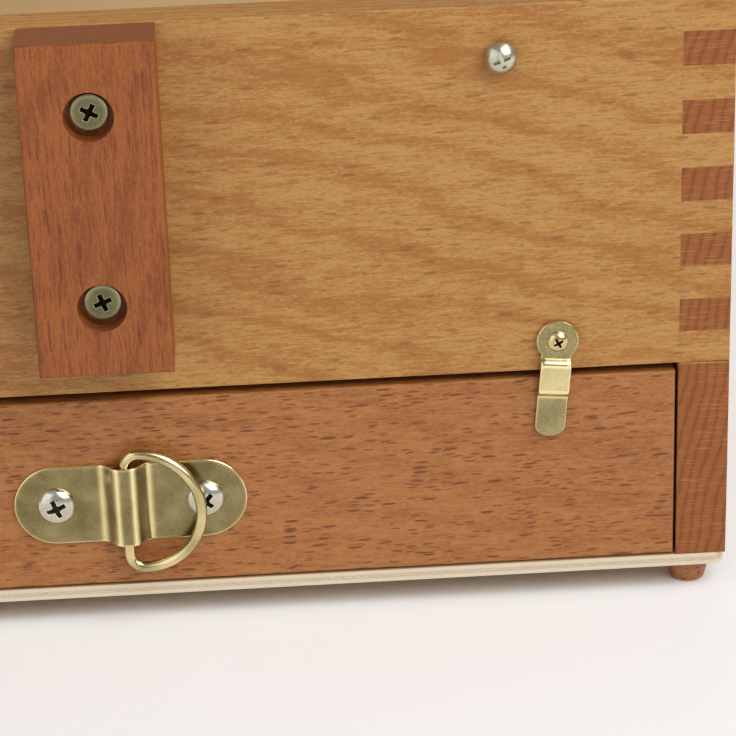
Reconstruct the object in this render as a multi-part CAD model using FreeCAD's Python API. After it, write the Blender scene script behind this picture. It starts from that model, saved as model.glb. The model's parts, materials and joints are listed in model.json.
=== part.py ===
"""Table-top French box easel: a finger-jointed sketch box on small turned feet, with a
drawer, a lift-out palette and a tilting lid that carries a sliding canvas mast and a ledge.

Millimetres, +Z up, the painter stands on the -Y side and +X is to the painter's right.
The pieces are drawn in the box's own frame (centre line x = 0, front face y = 0, underside
z = 0) in the set-up position, and are moved at the end so that the origin is the middle of
the whole footprint, on the table. Lid pieces are drawn with the lid shut and then swung open.
"""
import FreeCAD, Part
import math
import os

V = FreeCAD.Vector

# ---- Driving dimensions -------------------------------------------------------------------
box_width = 290.0            # over the side boards
box_depth = 420.0            # front face to back face
wall = 12.0                  # front, back and side boards
bottom_thick = 3.0           # plywood under the box
bottom_corner_r = 3.5
drawer_opening = 50.0        # underside of the front panel above the plywood
panel_finger = 8.0           # box joint pitch at the front corners
panel_finger_count = 11      # odd, so that the panel has a finger at both ends
back_finger_count = 17       # box joint at the back corners, over the whole height
edge_round = 1.0             # sanded edges

lid_finger = 6.0             # box joint pitch of the lid
lid_finger_count = 5
lid_panel_thick = 4.0
lid_panel_inset = 2.0        # lid panel below the top of the lid's rails
rim_gap = 0.3                # lid above the box
lid_open = 105.0             # degrees from shut to the set-up position
lid_open_more = 15.0         # degrees further back

floor_thick = 3.0            # plywood floor of the compartments
floor_above_panel = 6.0      # compartment floor above the panel's lower edge
groove = 5.0                 # depth of every groove that holds plywood
divider_thick = 6.0
divider_height = 21.0
front_bay = 130.0            # compartment behind the front panel
palette_below_rim = 45.0
palette_thick = 4.0
palette_gap = 0.8
palette_back_gap = 23.0      # room behind the palette for the canvas ledge
palette_corner_r = 14.0
thumb_long, thumb_short = 40.0, 26.0
rail_size = 8.0              # palette rails

foot_top_r, foot_bottom_r, foot_height = 5.8, 4.0, 6.8
foot_inset = 7.8             # from the side face
foot_set_back = 8.2

strut_width, strut_thick, strut_length = 30.5, 15.0, 77.5
strut_above_panel_edge = 10.4
strut_x = 0.7
strut_screw_pitch = 44.5
counterbore_r, counterbore_depth = 5.6, 5.0
screw_head_r, screw_shank_r = 4.2, 1.9

drawer_front_gap = 0.7       # each side
drawer_top_gap, drawer_bottom_gap = 1.9, 0.5
drawer_side_thick, drawer_side_height = 8.0, 41.0
drawer_side_gap = 1.5
drawer_run_gap = 0.3         # drawer sides above the plywood
drawer_bottom_thick = 3.0
drawer_bottom_lift = 4.0
drawer_back_gap = 16.0
tray_divider_thick = 5.0

plate_width, plate_height, plate_thick = 55.0, 20.0, 1.0
plate_screw_pitch = 35.0
plate_x, plate_below_middle = 3.3, 2.2
plate_screw_r, saddle_r, saddle_top = 4.6, 5.6, 4.5
ring_wire_r = 1.3
ring_rod_x, ring_rod_y = plate_x - 1.0, 2.6    # rod's centre, and its height off the drawer
ring_corner_r, ring_lean = 3.5, 6.0
ring_height, ring_reach, ring_drop = 32.0, 19.0, 1.5

latch_from_side, latch_above_edge = 40.5, 7.5
latch_disc_r, latch_neck, latch_thick = 5.0, 7.3, 0.9
latch_reach, latch_step = 24.0, 1.2
latch_screw_r, latch_tilt = 1.6, 5.0

hinge_axis_out = 3.4         # lid hinge axis behind the back face
knuckle_r, hinge_pin_r = 3.0, 1.5
hinge_width, hinge_x = 50.0, 90.0
leaf_thick, leaf_height = 1.5, 22.0
pivot_gap = 0.05             # radial clearance of every turning shaft

stay_radius = 55.0           # lid hinge axis to both of the stay's centres
stay_lid_angle, stay_box_angle = 8.0, 20.0
stay_width, stay_thick = 12.0, 2.0
stud_r, stay_screw_r = 2.0, 2.0
body_gap = 0.3               # between pieces that slide or swing past each other

hook_x, hook_pivot_above, hook_reach = 92.0, 13.0, 25.0
hook_thick, hook_screw_r, hook_aside = 1.5, 2.0, 55.0

mast_width, mast_thick = 36.0, 12.0
mast_out = 170.0             # mast above the lid, in the set-up position
guide_length, guide_front_y, guide_back_y = 25.0, 62.0, 290.0
mast_screw_r = 2.5
clamp_width, clamp_length, clamp_hook = 44.0, 25.0, 20.0
clamp_strap = 1.5
clamp_from_top = 30.0

ledge_depth, ledge_thick, ledge_lip = 45.0, 8.0, 7.0
ledge_pin_r = 2.5

handle_z, handle_span, handle_rise = 97.0, 130.0, 26.0
handle_width, handle_thick = 24.0, 5.0
handle_bar_r, handle_bar_out = 2.0, 7.0
bracket_thick = 1.2
carry_foot_inset, carry_foot_low = 22.0, 22.0

# ---- Places worked out from them ----------------------------------------------------------
half = box_width / 2
inner = half - wall
panel_bottom = bottom_thick + drawer_opening
panel_height = panel_finger * panel_finger_count
rim = panel_bottom + panel_height
side_height = rim - bottom_thick
lid_height = lid_finger * lid_finger_count
lid_bottom = rim + rim_gap
lid_top = lid_bottom + lid_height
lid_panel_top = lid_top - lid_panel_inset
lid_panel_under = lid_panel_top - lid_panel_thick
floor_z = panel_bottom + floor_above_panel
floor_top = floor_z + floor_thick
palette_z = rim - palette_below_rim - palette_thick
hinge_y, hinge_z = box_depth + hinge_axis_out, rim + rim_gap / 2
lid_axis = V(0, hinge_y, hinge_z)
mast_z = lid_panel_under - 3.0 - mast_thick
ledge_z = lid_bottom + body_gap + ledge_thick / 2
ledge_y = box_depth - wall - body_gap - ledge_thick / 2


# ---- Small tools --------------------------------------------------------------------------
def block(x0, x1, y0, y1, z0, z1):
    """Box between two corners."""
    return Part.makeBox(x1 - x0, y1 - y0, z1 - z0, V(x0, y0, z0))


def rod(radius, start, end):
    """Cylinder from one point to another."""
    return Part.makeCylinder(radius, (end - start).Length, start, end - start)


def fuse(shapes):
    """One solid from several that meet."""
    joined = shapes[0]
    if len(shapes) > 1:
        joined = joined.multiFuse(shapes[1:])
    return joined.removeSplitter()


def rounded(shape, radius, chosen):
    """Fillet the straight edges that the test picks by their two ends."""
    edges = [edge for edge in shape.Edges if len(edge.Vertexes) == 2
             and chosen(edge.Vertexes[0].Point, edge.Vertexes[1].Point)]
    return shape.makeFillet(radius, edges) if edges else shape


def mirrored(shape):
    """The same piece on the other side of the easel."""
    return shape.mirror(V(0, 0, 0), V(1, 0, 0))


def both_sides(shape):
    """The shape, and its mirror image across the centre line."""
    return [shape, mirrored(shape)]


def swung(shape, angle=lid_open):
    """A lid piece drawn shut, swung open about the lid's hinge."""
    turned = shape.copy()
    turned.rotate(lid_axis, V(-1, 0, 0), angle)
    return turned


def fingers(x0, x1, y0, y1, z0, pitch, count, first):
    """Every other finger of a box joint, one above the other."""
    return [block(x0, x1, y0, y1, z0 + i * pitch, z0 + (i + 1) * pitch)
            for i in range(first, count, 2)]


def cross_recess(point, out, depth, length, width):
    """Cross-shaped driver recess, cut into a head at point; out points out of the head."""
    arms = []
    for along in (V(length / 2, width / 2, depth), V(width / 2, length / 2, depth)):
        arms.append(Part.makeBox(2 * along.x, 2 * along.y, 2 * along.z,
                                 V(-along.x, -along.y, -along.z)))
    recess = fuse(arms)
    recess.rotate(V(0, 0, 0), V(0, 0, 1), 20)
    recess.Placement = FreeCAD.Placement(point, FreeCAD.Rotation(V(0, 0, 1), out)).multiply(
        recess.Placement)
    return recess


def pan_screw(point, out, head_r, head_height, shank_r, shank_length, plain=False):
    """Screw whose domed head sits on point; a plain one, with no recess, cuts its own hole."""
    bulge = (head_r ** 2 + head_height ** 2) / (2 * head_height)
    dome = Part.makeSphere(bulge, V(0, 0, head_height - bulge))
    head = dome.common(Part.makeCylinder(head_r, head_height))
    screw = fuse([head, Part.makeCylinder(shank_r, shank_length, V(0, 0, -shank_length))])
    screw.Placement = FreeCAD.Placement(point, FreeCAD.Rotation(V(0, 0, 1), out))
    if plain:
        return screw
    return screw.cut(cross_recess(point + out * head_height, out, depth=head_height * 0.7,
                                  length=head_r * 1.1, width=head_r * 0.26))


def countersunk_screw(point, out, head_r, shank_r, shank_length, plain=False):
    """Screw whose flat head's top is at point, with a shallow rim and a cone under it."""
    rim_thick = 0.15 * head_r
    cone = Part.makeCone(shank_r, head_r, head_r - shank_r, V(0, 0, shank_r - head_r))
    rim_disc = Part.makeCylinder(head_r, rim_thick, V(0, 0, 0))
    shank = Part.makeCylinder(shank_r, shank_length, V(0, 0, shank_r - head_r - shank_length))
    screw = fuse([cone, rim_disc, shank])
    screw.Placement = FreeCAD.Placement(point - out * rim_thick,
                                        FreeCAD.Rotation(V(0, 0, 1), out))
    if plain:
        return screw
    return screw.cut(cross_recess(point, out, depth=head_r * 0.4, length=head_r * 1.1,
                                  width=head_r * 0.26))


def wing_nut(point, out, bore_r, turn):
    """Wing nut seated on point, with its two wings lying along a turned line."""
    hub = Part.makeCone(5.0, 3.8, 7.0).cut(Part.makeCylinder(bore_r, 7.0))
    wings = []
    for side in (1, -1):
        arc = Part.makeCylinder(5.5, 1.8, V(side * 8.0, 0.9, 7.5), V(0, -1, 0))
        web = Part.makeBox(7.0, 1.8, 6.0, V(3.4 if side > 0 else -10.4, -0.9, 1.5))
        wings += [arc, web]
    nut = hub.multiFuse(wings).cut(Part.makeCylinder(bore_r, 14.0))
    nut = nut.removeSplitter()
    nut.rotate(V(0, 0, 0), V(0, 0, 1), turn)
    nut.Placement = FreeCAD.Placement(point, FreeCAD.Rotation(V(0, 0, 1), out)).multiply(
        nut.Placement)
    return nut


# ---- Box ----------------------------------------------------------------------------------
strut_bottom = panel_bottom + strut_above_panel_edge
strut_screw_z = [strut_bottom + (strut_length - strut_screw_pitch) / 2 + i * strut_screw_pitch
                 for i in (0, 1)]


def strut_screws(plain=False):
    """Countersunk screws at the bottom of the strut's counterbores."""
    seat_y = -strut_thick + counterbore_depth
    return [countersunk_screw(V(strut_x, seat_y - 1.6, z), V(0, -1, 0), screw_head_r,
                              screw_shank_r, 14.0, plain) for z in strut_screw_z]


def front_panel():
    """Front board above the drawer, finger-jointed at both ends."""
    board = block(-inner, inner, 0, wall, panel_bottom, rim)
    tabs = fingers(inner, half, 0, wall, panel_bottom, panel_finger, panel_finger_count, 0)
    board = fuse([board] + tabs + [mirrored(tab) for tab in tabs])
    return board.cut(Part.makeCompound(
        strut_screws(True) + latch_screws(True) + hook_studs(True)))


def side_board():
    """Side board with the joints of the front and back, and grooves for the plywood."""
    board = block(inner, half, wall, box_depth - wall, bottom_thick, rim)
    post = block(inner, half, 0, wall, bottom_thick, panel_bottom)
    front = fingers(inner, half, 0, wall, panel_bottom, panel_finger, panel_finger_count, 1)
    back = fingers(inner, half, box_depth - wall, box_depth, bottom_thick,
                   side_height / back_finger_count, back_finger_count, 1)
    board = fuse([board, post] + front + back)
    slot = block(inner, inner + groove, wall, box_depth - wall, floor_z, floor_top)
    return board.cut(slot)


def right_side_board():
    """Side board with the holes for the handle's screws."""
    return side_board().cut(Part.makeCompound(handle_screws(True)))


def back_panel():
    """Back board, finger-jointed over its whole height."""
    board = block(-inner, inner, box_depth - wall, box_depth, bottom_thick, rim)
    tabs = fingers(inner, half, box_depth - wall, box_depth, bottom_thick,
                   side_height / back_finger_count, back_finger_count, 0)
    board = fuse([board] + tabs + [mirrored(tab) for tab in tabs])
    return board.cut(Part.makeCompound(hinge_screws(-1, True)))


def box_bottom():
    """Plywood under the box, with rounded corners."""
    sheet = block(-half, half, 0, box_depth, 0, bottom_thick)
    return rounded(sheet, bottom_corner_r, lambda a, b: abs(a.z - b.z) > 1)


def box_feet():
    """Four small tapered feet under the corners."""
    feet = []
    for x in (half - foot_inset, foot_inset - half):
        for y in (foot_set_back, box_depth - foot_set_back):
            feet.append(Part.makeCone(foot_bottom_r, foot_top_r, foot_height,
                                      V(x, y, -foot_height)))
    return Part.makeCompound(feet)


def front_strut():
    """Upright strut on the front panel, with two counterbored holes."""
    bar = block(strut_x - strut_width / 2, strut_x + strut_width / 2, -strut_thick, 0,
                strut_bottom, strut_bottom + strut_length)
    bar = rounded(bar, edge_round, lambda a, b: abs(a.y + strut_thick) < 1e-6
                  and abs(b.y + strut_thick) < 1e-6)
    for z in strut_screw_z:
        bar = bar.cut(rod(counterbore_r, V(strut_x, -strut_thick - 1, z),
                          V(strut_x, counterbore_depth - strut_thick, z)))
    return bar.cut(Part.makeCompound(strut_screws(True)))


def inner_floor():
    """Plywood floor of the compartments, in the boards' grooves."""
    return block(-inner - groove, inner + groove, wall, box_depth - wall, floor_z, floor_top)


def compartment_dividers():
    """Divider behind the front bay, and two from it to the back board."""
    top = floor_top + divider_height
    cross_y = wall + front_bay
    pieces = [block(-inner, inner, cross_y, cross_y + divider_thick, floor_top, top)]
    for x in (-inner / 3, inner / 3):
        pieces.append(block(x - divider_thick / 2, x + divider_thick / 2,
                            cross_y + divider_thick, box_depth - wall, floor_top, top))
    return Part.makeCompound(pieces)


def palette_rails():
    """Rails along both sides, which the palette lies on."""
    rail = block(inner - rail_size, inner, wall, box_depth - wall,
                 palette_z - rail_size, palette_z)
    return Part.makeCompound(both_sides(rail))


def palette():
    """Plywood palette with a thumb hole."""
    sheet = block(palette_gap - inner, inner - palette_gap, wall + palette_gap,
                  box_depth - wall - palette_back_gap, palette_z, palette_z + palette_thick)
    sheet = rounded(sheet, palette_corner_r, lambda a, b: abs(a.z - b.z) > 1)
    centre = V(-inner + 56.0, wall + 46.0, palette_z - 1)
    oval = Part.Ellipse(centre, thumb_long / 2, thumb_short / 2)
    thumb = Part.Face(Part.Wire(oval.toShape())).extrude(V(0, 0, palette_thick + 2))
    return sheet.cut(thumb)


# ---- Drawer -------------------------------------------------------------------------------
drawer_low = bottom_thick + drawer_bottom_gap
drawer_high = panel_bottom - drawer_top_gap
drawer_side_low = bottom_thick + drawer_run_gap
drawer_end = box_depth - wall - drawer_back_gap
drawer_side_out = inner - drawer_side_gap
drawer_side_in = drawer_side_out - drawer_side_thick
tray_z = drawer_side_low + drawer_bottom_lift
tray_top = tray_z + drawer_bottom_thick
plate_z = (drawer_low + drawer_high) / 2 - plate_below_middle


def drawer_bottom():
    """Plywood in the grooves of the drawer's boards."""
    return block(-drawer_side_in - groove, drawer_side_in + groove, wall - groove, drawer_end,
                 tray_z, tray_top)


def drawer_front():
    """Drawer's front board, with its outer edges sanded."""
    board = block(drawer_front_gap - inner, inner - drawer_front_gap, 0, wall,
                  drawer_low, drawer_high)
    board = rounded(board, edge_round * 0.6, lambda a, b: abs(a.y) < 1e-6 and abs(b.y) < 1e-6)
    return board.cut(Part.makeCompound([drawer_bottom()] + plate_screws(True)))


def drawer_sides():
    """Drawer's two side boards."""
    side = block(drawer_side_in, drawer_side_out, wall, drawer_end, drawer_side_low,
                 drawer_side_low + drawer_side_height).cut(drawer_bottom())
    return Part.makeCompound(both_sides(side))


def drawer_back():
    """Drawer's back board."""
    return block(-drawer_side_in, drawer_side_in, drawer_end - drawer_side_thick, drawer_end,
                 tray_top, drawer_side_low + drawer_side_height)


def drawer_dividers():
    """Cross divider, and a long one behind it."""
    top = drawer_side_low + drawer_side_height - 6.0
    cross_y = wall + front_bay
    low = tray_top
    cross = block(-drawer_side_in, drawer_side_in, cross_y, cross_y + tray_divider_thick,
                  low, top)
    long = block(-tray_divider_thick / 2, tray_divider_thick / 2,
                 cross_y + tray_divider_thick, drawer_end - drawer_side_thick, low, top)
    return Part.makeCompound([cross, long])


def plate_screws(plain=False):
    """Pan-head screws at the two ends of the ring plate."""
    return [pan_screw(V(plate_x + side * plate_screw_pitch / 2, -plate_thick, plate_z),
                      V(0, -1, 0), plate_screw_r, 1.9, 1.5, 9.0, plain) for side in (-1, 1)]


def ring_plate():
    """Stadium plate with a raised saddle that holds the ring's rod."""
    end_r = plate_height / 2
    reach = plate_width / 2 - end_r
    body = block(plate_x - reach, plate_x + reach, -plate_thick, 0,
                 plate_z - end_r, plate_z + end_r)
    ends = [rod(end_r, V(x, -plate_thick, plate_z), V(x, 0, plate_z))
            for x in (plate_x - reach, plate_x + reach)]
    saddle = rod(saddle_r, V(ring_rod_x, -0.4, plate_z - end_r),
                 V(ring_rod_x, -0.4, plate_z + end_r))
    saddle = saddle.common(block(ring_rod_x - saddle_r, ring_rod_x + saddle_r, -saddle_top, 0,
                                 plate_z - end_r, plate_z + end_r))
    tunnel = rod(ring_wire_r + pivot_gap, V(ring_rod_x, -ring_rod_y, plate_z - plate_height),
                 V(ring_rod_x, -ring_rod_y, plate_z + plate_height))
    plate = fuse([body] + ends + [saddle]).cut(tunnel)
    return plate.cut(Part.makeCompound(plate_screws(True)))


def drawer_ring():
    """D of wire: a straight rod through the saddle and a half loop beside it."""
    rise = ring_height / 2 - ring_wire_r
    reach = ring_reach - ring_wire_r
    middle = plate_z - ring_drop
    low = V(ring_rod_x, -ring_rod_y, middle - rise)
    high = V(ring_rod_x, -ring_rod_y, middle + rise)
    lean = V(math.cos(math.radians(ring_lean)), -math.sin(math.radians(ring_lean)), 0)
    corner = ring_corner_r
    reach_low = low + lean * (reach - rise)
    reach_high = high + lean * (reach - rise)
    far = V(ring_rod_x, -ring_rod_y, middle) + lean * reach
    inward = V(0, 0, corner)
    turn = corner * (1 - math.sqrt(0.5))
    low_mid = low + lean * turn + V(0, 0, turn)
    high_mid = high + lean * turn - V(0, 0, turn)
    edges = [Part.makeLine(low + inward, high - inward),
             Part.Arc(high - inward, high_mid, high + lean * corner).toShape(),
             Part.makeLine(high + lean * corner, reach_high),
             Part.Arc(reach_high, far, reach_low).toShape(),
             Part.makeLine(reach_low, low + lean * corner),
             Part.Arc(low + lean * corner, low_mid, low + inward).toShape()]
    path = Part.Wire(edges)
    section = Part.Wire(Part.makeCircle(ring_wire_r, low + inward, V(0, 0, 1)))
    return path.makePipeShell([section], True, False)


# ---- Drawer latches -----------------------------------------------------------------------
latch_x = half - latch_from_side
latch_z = panel_bottom + latch_above_edge


def latch_screws(plain=False):
    """Pan-head screws that the latches turn on."""
    seat = body_gap + latch_thick + pivot_gap
    return [pan_screw(V(side * latch_x, -seat, latch_z), V(0, -1, 0),
                      2.5, latch_screw_r, 1.4, 9.0, plain) for side in (1, -1)]


def drawer_latch(side):
    """Turn latch bent out over the drawer's edge; it swings on its screw."""
    back, face = -body_gap, -body_gap - latch_thick
    disc = rod(latch_disc_r, V(0, back, 0), V(0, face, 0))
    half_neck = latch_neck / 2
    upper_end = -latch_above_edge + 2.6
    lower_start = -latch_above_edge - drawer_top_gap - 3.2
    profile = [V(0, back, 1), V(0, back, upper_end), V(0, back - latch_step, upper_end - 1.6),
               V(0, back - latch_step, lower_start), V(0, back, lower_start - 1.8),
               V(0, back, half_neck - latch_reach)]
    outer = [V(0, point.y - latch_thick, point.z) for point in reversed(profile)]
    face_edge = Part.Face(Part.makePolygon(profile + outer + [profile[0]]))
    strip = face_edge.extrude(V(latch_neck, 0, 0))
    strip.translate(V(-half_neck, 0, 0))
    tip = rod(half_neck, V(0, back, half_neck - latch_reach), V(0, face, half_neck - latch_reach))
    plate = fuse([disc, strip, tip]).cut(
        rod(latch_screw_r + pivot_gap, V(0, 1, 0), V(0, -5, 0)))
    plate.rotate(V(0, 0, 0), V(0, 1, 0), latch_tilt * side)
    plate.translate(V(side * latch_x, 0, latch_z))
    return plate


# ---- Lid, drawn shut ----------------------------------------------------------------------
def lid_side_rail():
    """Side rail of the lid with the joints of its front and back."""
    board = block(inner, half, wall, box_depth - wall, lid_bottom, lid_top)
    tabs = []
    for y in (0, box_depth - wall):
        tabs += fingers(inner, half, y, y + wall, lid_bottom, lid_finger, lid_finger_count, 1)
    board = fuse([board] + tabs).cut(lid_panel())
    pin = rod(ledge_pin_r, V(inner - 7, ledge_y, ledge_z), V(half, ledge_y, ledge_z))
    return board.cut(pin).cut(stay_screws(True)[0])


def lid_end_rail(y):
    """Front or back rail of the lid, between two finger joints."""
    board = block(-inner, inner, y, y + wall, lid_bottom, lid_top)
    tabs = fingers(inner, half, y, y + wall, lid_bottom, lid_finger, lid_finger_count, 0)
    return fuse([board] + tabs + [mirrored(tab) for tab in tabs]).cut(lid_panel())


def lid_front_rail():
    """Front rail, notched so that the mast and its clamp pass through."""
    wide = clamp_width / 2 + 1.0
    notch = block(-wide, wide, -1, wall + 1, lid_bottom - 1, lid_panel_under)
    return lid_end_rail(0).cut(notch).cut(Part.makeCompound(hook_screws(True)))


def lid_back_rail():
    """Back rail of the lid, with the holes for the hinge screws."""
    return lid_end_rail(box_depth - wall).cut(Part.makeCompound(hinge_screws(1, True)))


def lid_panel():
    """Plywood panel in the grooves of the lid's rails."""
    return block(-inner - groove, inner + groove, wall - groove, box_depth - wall + groove,
                 lid_panel_under, lid_panel_top)


def mast_guides():
    """Two cross bars that the mast slides through."""
    pieces = []
    gap = body_gap
    for y in (guide_front_y, guide_back_y):
        batten = block(-inner, inner, y, y + guide_length, mast_z - 4.0, lid_panel_under)
        window = block(-mast_width / 2 - gap, mast_width / 2 + gap, y - 1, y + guide_length + 1,
                       mast_z - gap, mast_z + mast_thick + gap)
        pieces.append(batten.cut(window))
    pieces[0] = pieces[0].cut(mast_screw_hole())
    return Part.makeCompound(pieces)


mast_screw_at = V(0, guide_front_y + guide_length / 2, mast_z)


def mast_screw_hole():
    """Hole for the thumb screw that locks the mast."""
    return rod(mast_screw_r + pivot_gap, mast_screw_at - V(0, 0, 10), mast_screw_at)


def mast_thumb_screw():
    """Thumb screw through the front guide, pressing on the mast's face."""
    seat = mast_screw_at - V(0, 0, body_gap + 0.1)
    shaft = rod(mast_screw_r, seat, seat - V(0, 0, 9))
    knob = wing_nut(seat - V(0, 0, 4.6), V(0, 0, -1), 2.0, 90)
    return fuse([shaft, knob])


def mast():
    """Sliding canvas mast; its far end is near the lid's back rail when stowed."""
    end = box_depth - wall - 30.0
    bar = block(-mast_width / 2, mast_width / 2, 0, end, mast_z, mast_z + mast_thick)
    bar = rounded(bar, 2.0, lambda a, b: abs(a.y) < 1e-6 and abs(b.y) < 1e-6
                  and abs(a.z - b.z) > 1)
    bar.translate(V(0, -mast_out, 0))
    return bar


clamp_y = clamp_from_top - mast_out


def top_clamp():
    """Wooden hook block that holds the canvas's top edge, under the mast's face."""
    top = mast_z - body_gap - clamp_strap
    y0, y1 = clamp_y - clamp_length / 2, clamp_y + clamp_length / 2
    hook = block(-clamp_width / 2, clamp_width / 2, y0, y1, top - clamp_hook, top)
    rebate = block(-clamp_width / 2 - 1, clamp_width / 2 + 1, y0 + 9.0, y1 + 1,
                   top - clamp_hook + 6.0, top - 2.0)
    return rounded(hook, 2.5, lambda a, b: abs(a.y - y0) < 1e-6 and abs(b.y - y0) < 1e-6
                   and abs(a.z - b.z) > 1).cut(rebate)


def top_clamp_strap():
    """Brass strap that carries the hook block round the mast."""
    y0, y1 = clamp_y - clamp_length / 2 + 3, clamp_y + clamp_length / 2 - 3
    wide, low = mast_width / 2 + body_gap, mast_z - body_gap
    high = mast_z + mast_thick + body_gap
    outer = block(-wide - clamp_strap, wide + clamp_strap, y0, y1, low - clamp_strap,
                  high + clamp_strap)
    return outer.cut(block(-wide, wide, y0 - 1, y1 + 1, low, high))


def canvas_ledge():
    """Ledge that the canvas stands on, drawn swung out square to the lid."""
    wide = inner - body_gap - 0.4
    board = block(-wide, wide, ledge_y - ledge_thick / 2, ledge_y + ledge_thick / 2,
                  ledge_z - ledge_depth, ledge_z + ledge_thick / 2 - 0.4)
    board = rounded(board, 3.4, lambda a, b: abs(a.z - b.z) < 1e-6 and abs(a.y - b.y) < 1e-6
                    and abs(a.z - ledge_z - ledge_thick / 2 + 0.4) < 1e-6)
    lip = block(mast_width / 2 + 4.0, wide, ledge_y - ledge_thick / 2 - ledge_lip,
                ledge_y - ledge_thick / 2, ledge_z - ledge_depth, ledge_z - ledge_depth + 6.0)
    board = fuse([board] + both_sides(lip))
    pin = rod(ledge_pin_r + pivot_gap, V(inner - 7.5, ledge_y, ledge_z),
              V(inner, ledge_y, ledge_z))
    return board.cut(Part.makeCompound(both_sides(pin)))


stay_lid = V(half, hinge_y - stay_radius * math.cos(math.radians(stay_lid_angle)),
             hinge_z + stay_radius * math.sin(math.radians(stay_lid_angle)))
stay_box = V(half, hinge_y - stay_radius * math.cos(math.radians(stay_box_angle)),
             hinge_z - stay_radius * math.sin(math.radians(stay_box_angle)))


def ledge_pins():
    """Pins that the canvas ledge turns on."""
    return both_sides(rod(ledge_pin_r, V(inner - 7, ledge_y, ledge_z),
                          V(half, ledge_y, ledge_z)))


def stay_screws(plain=False):
    """Screws in the lid's side rails that the stays turn on."""
    seat = half + 2 * body_gap + stay_thick
    shank = rod(stay_screw_r, V(half - 8, stay_lid.y, stay_lid.z),
                V(seat, stay_lid.y, stay_lid.z))
    head = pan_screw(V(seat, stay_lid.y, stay_lid.z), V(1, 0, 0), 4.2, stay_screw_r, 2.0, 1.0,
                     plain)
    return both_sides(fuse([shank, head]))


def knuckles(first):
    """Centres and lengths of one leaf's share of the five hinge knuckles."""
    length = hinge_width / 5
    return [(-hinge_width / 2 + i * length, -hinge_width / 2 + (i + 1) * length)
            for i in range(first, 5, 2)]


def hinge_leaf(first, up):
    """One leaf of a butt hinge with its knuckles; up is +1 for the lid, -1 for the box."""
    near, far = 3.6, leaf_height
    plate = block(-hinge_width / 2, hinge_width / 2, box_depth, box_depth + leaf_thick,
                  min(up * near, up * far), max(up * near, up * far))
    plate.translate(V(0, 0, hinge_z))
    pieces = [plate]
    gap = 0.15
    for x0, x1 in knuckles(first):
        pieces.append(rod(knuckle_r, V(x0 + gap, hinge_y, hinge_z),
                          V(x1 - gap, hinge_y, hinge_z)))
        tongue = block(x0 + gap, x1 - gap, box_depth + 0.2, box_depth + leaf_thick,
                       min(0, up * (near + 1)), max(0, up * (near + 1)))
        tongue.translate(V(0, 0, hinge_z))
        pieces.append(tongue)
    bore_r = hinge_pin_r + (pivot_gap if up > 0 else 0)
    bore = rod(bore_r, V(-hinge_width / 2, hinge_y, hinge_z),
               V(hinge_width / 2, hinge_y, hinge_z))
    return fuse(pieces).cut(bore)


def hinge_leaves(first, up):
    """Leaves and knuckles of both hinges, for one side of the joint."""
    pieces = []
    for x in (-hinge_x, hinge_x):
        leaf = hinge_leaf(first, up)
        leaf.translate(V(x, 0, 0))
        pieces.append(leaf)
    return Part.makeCompound(pieces).cut(Part.makeCompound(hinge_screws(up, True)))


def hinge_pins():
    """Pins of both hinges."""
    return [rod(hinge_pin_r, V(x - hinge_width / 2, hinge_y, hinge_z),
                V(x + hinge_width / 2, hinge_y, hinge_z)) for x in (-hinge_x, hinge_x)]


def hinge_screws(up, plain=False):
    """Three flush screws in each leaf."""
    screws = []
    for x in (-hinge_x, hinge_x):
        for dx, dz in ((-hinge_width * 0.34, 10.0), (0, 15.0), (hinge_width * 0.34, 10.0)):
            point = V(x + dx, box_depth + leaf_thick, hinge_z + up * dz)
            screws.append(countersunk_screw(point, V(0, 1, 0), 2.6, 1.2, 6.0, plain))
    return screws


def stay_point(point):
    """A lid point in the set-up position."""
    angle = math.radians(lid_open)
    y, z = point.y - hinge_y, point.z - hinge_z
    return V(point.x, hinge_y + y * math.cos(angle) + z * math.sin(angle),
             hinge_z - y * math.sin(angle) + z * math.cos(angle))


stay_full = 2 * stay_radius * math.sin(
    math.radians(stay_lid_angle + stay_box_angle + lid_open + lid_open_more) / 2)
stay_length = stay_full + stay_width / 2 + 2.0


def lid_stay():
    """Straight slotted stay: its slot slides on the box's stud as the lid swings."""
    x0 = half + body_gap
    bar = block(x0, x0 + stay_thick, -stay_width / 2, stay_width / 2, 0, stay_length)
    ends = [rod(stay_width / 2, V(x0, 0, z), V(x0 + stay_thick, 0, z))
            for z in (0, stay_length)]
    slot_r = stud_r + pivot_gap
    slot_low = stay_width / 2 + 5.0
    slot = block(x0 - 1, x0 + stay_thick + 1, -slot_r, slot_r, slot_low, stay_length - 2.0)
    slot_ends = [rod(slot_r, V(x0 - 1, 0, z), V(x0 + stay_thick + 1, 0, z))
                 for z in (slot_low, stay_length - 2.0)]
    hole = rod(stay_screw_r + pivot_gap, V(x0 - 1, 0, 0), V(x0 + stay_thick + 1, 0, 0))
    bar = fuse([bar] + ends).cut(Part.makeCompound([slot] + slot_ends + [hole]))
    pivot = stay_point(stay_lid)
    line = stay_box - pivot
    bar.rotate(V(0, 0, 0), V(1, 0, 0), math.degrees(math.atan2(-line.y, line.z)))
    bar.translate(V(0, pivot.y, pivot.z))
    return bar


def stay_studs():
    """Studs in the box that the stays turn and slide on."""
    x1 = half + 2 * body_gap + stay_thick + 8.0
    return both_sides(rod(stud_r, V(half, stay_box.y, stay_box.z),
                          V(x1, stay_box.y, stay_box.z)))


def stay_wing_nut():
    """Wing nut at the outer end of a stay's stud."""
    seat = V(half + 2 * body_gap + stay_thick, stay_box.y, stay_box.z)
    return wing_nut(seat, V(1, 0, 0), stud_r + pivot_gap, 35)


# ---- Lid hooks ----------------------------------------------------------------------------
hook_pivot = V(hook_x, 0, lid_bottom + hook_pivot_above)
hook_stud = hook_pivot - V(0, 0, hook_reach)


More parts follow.
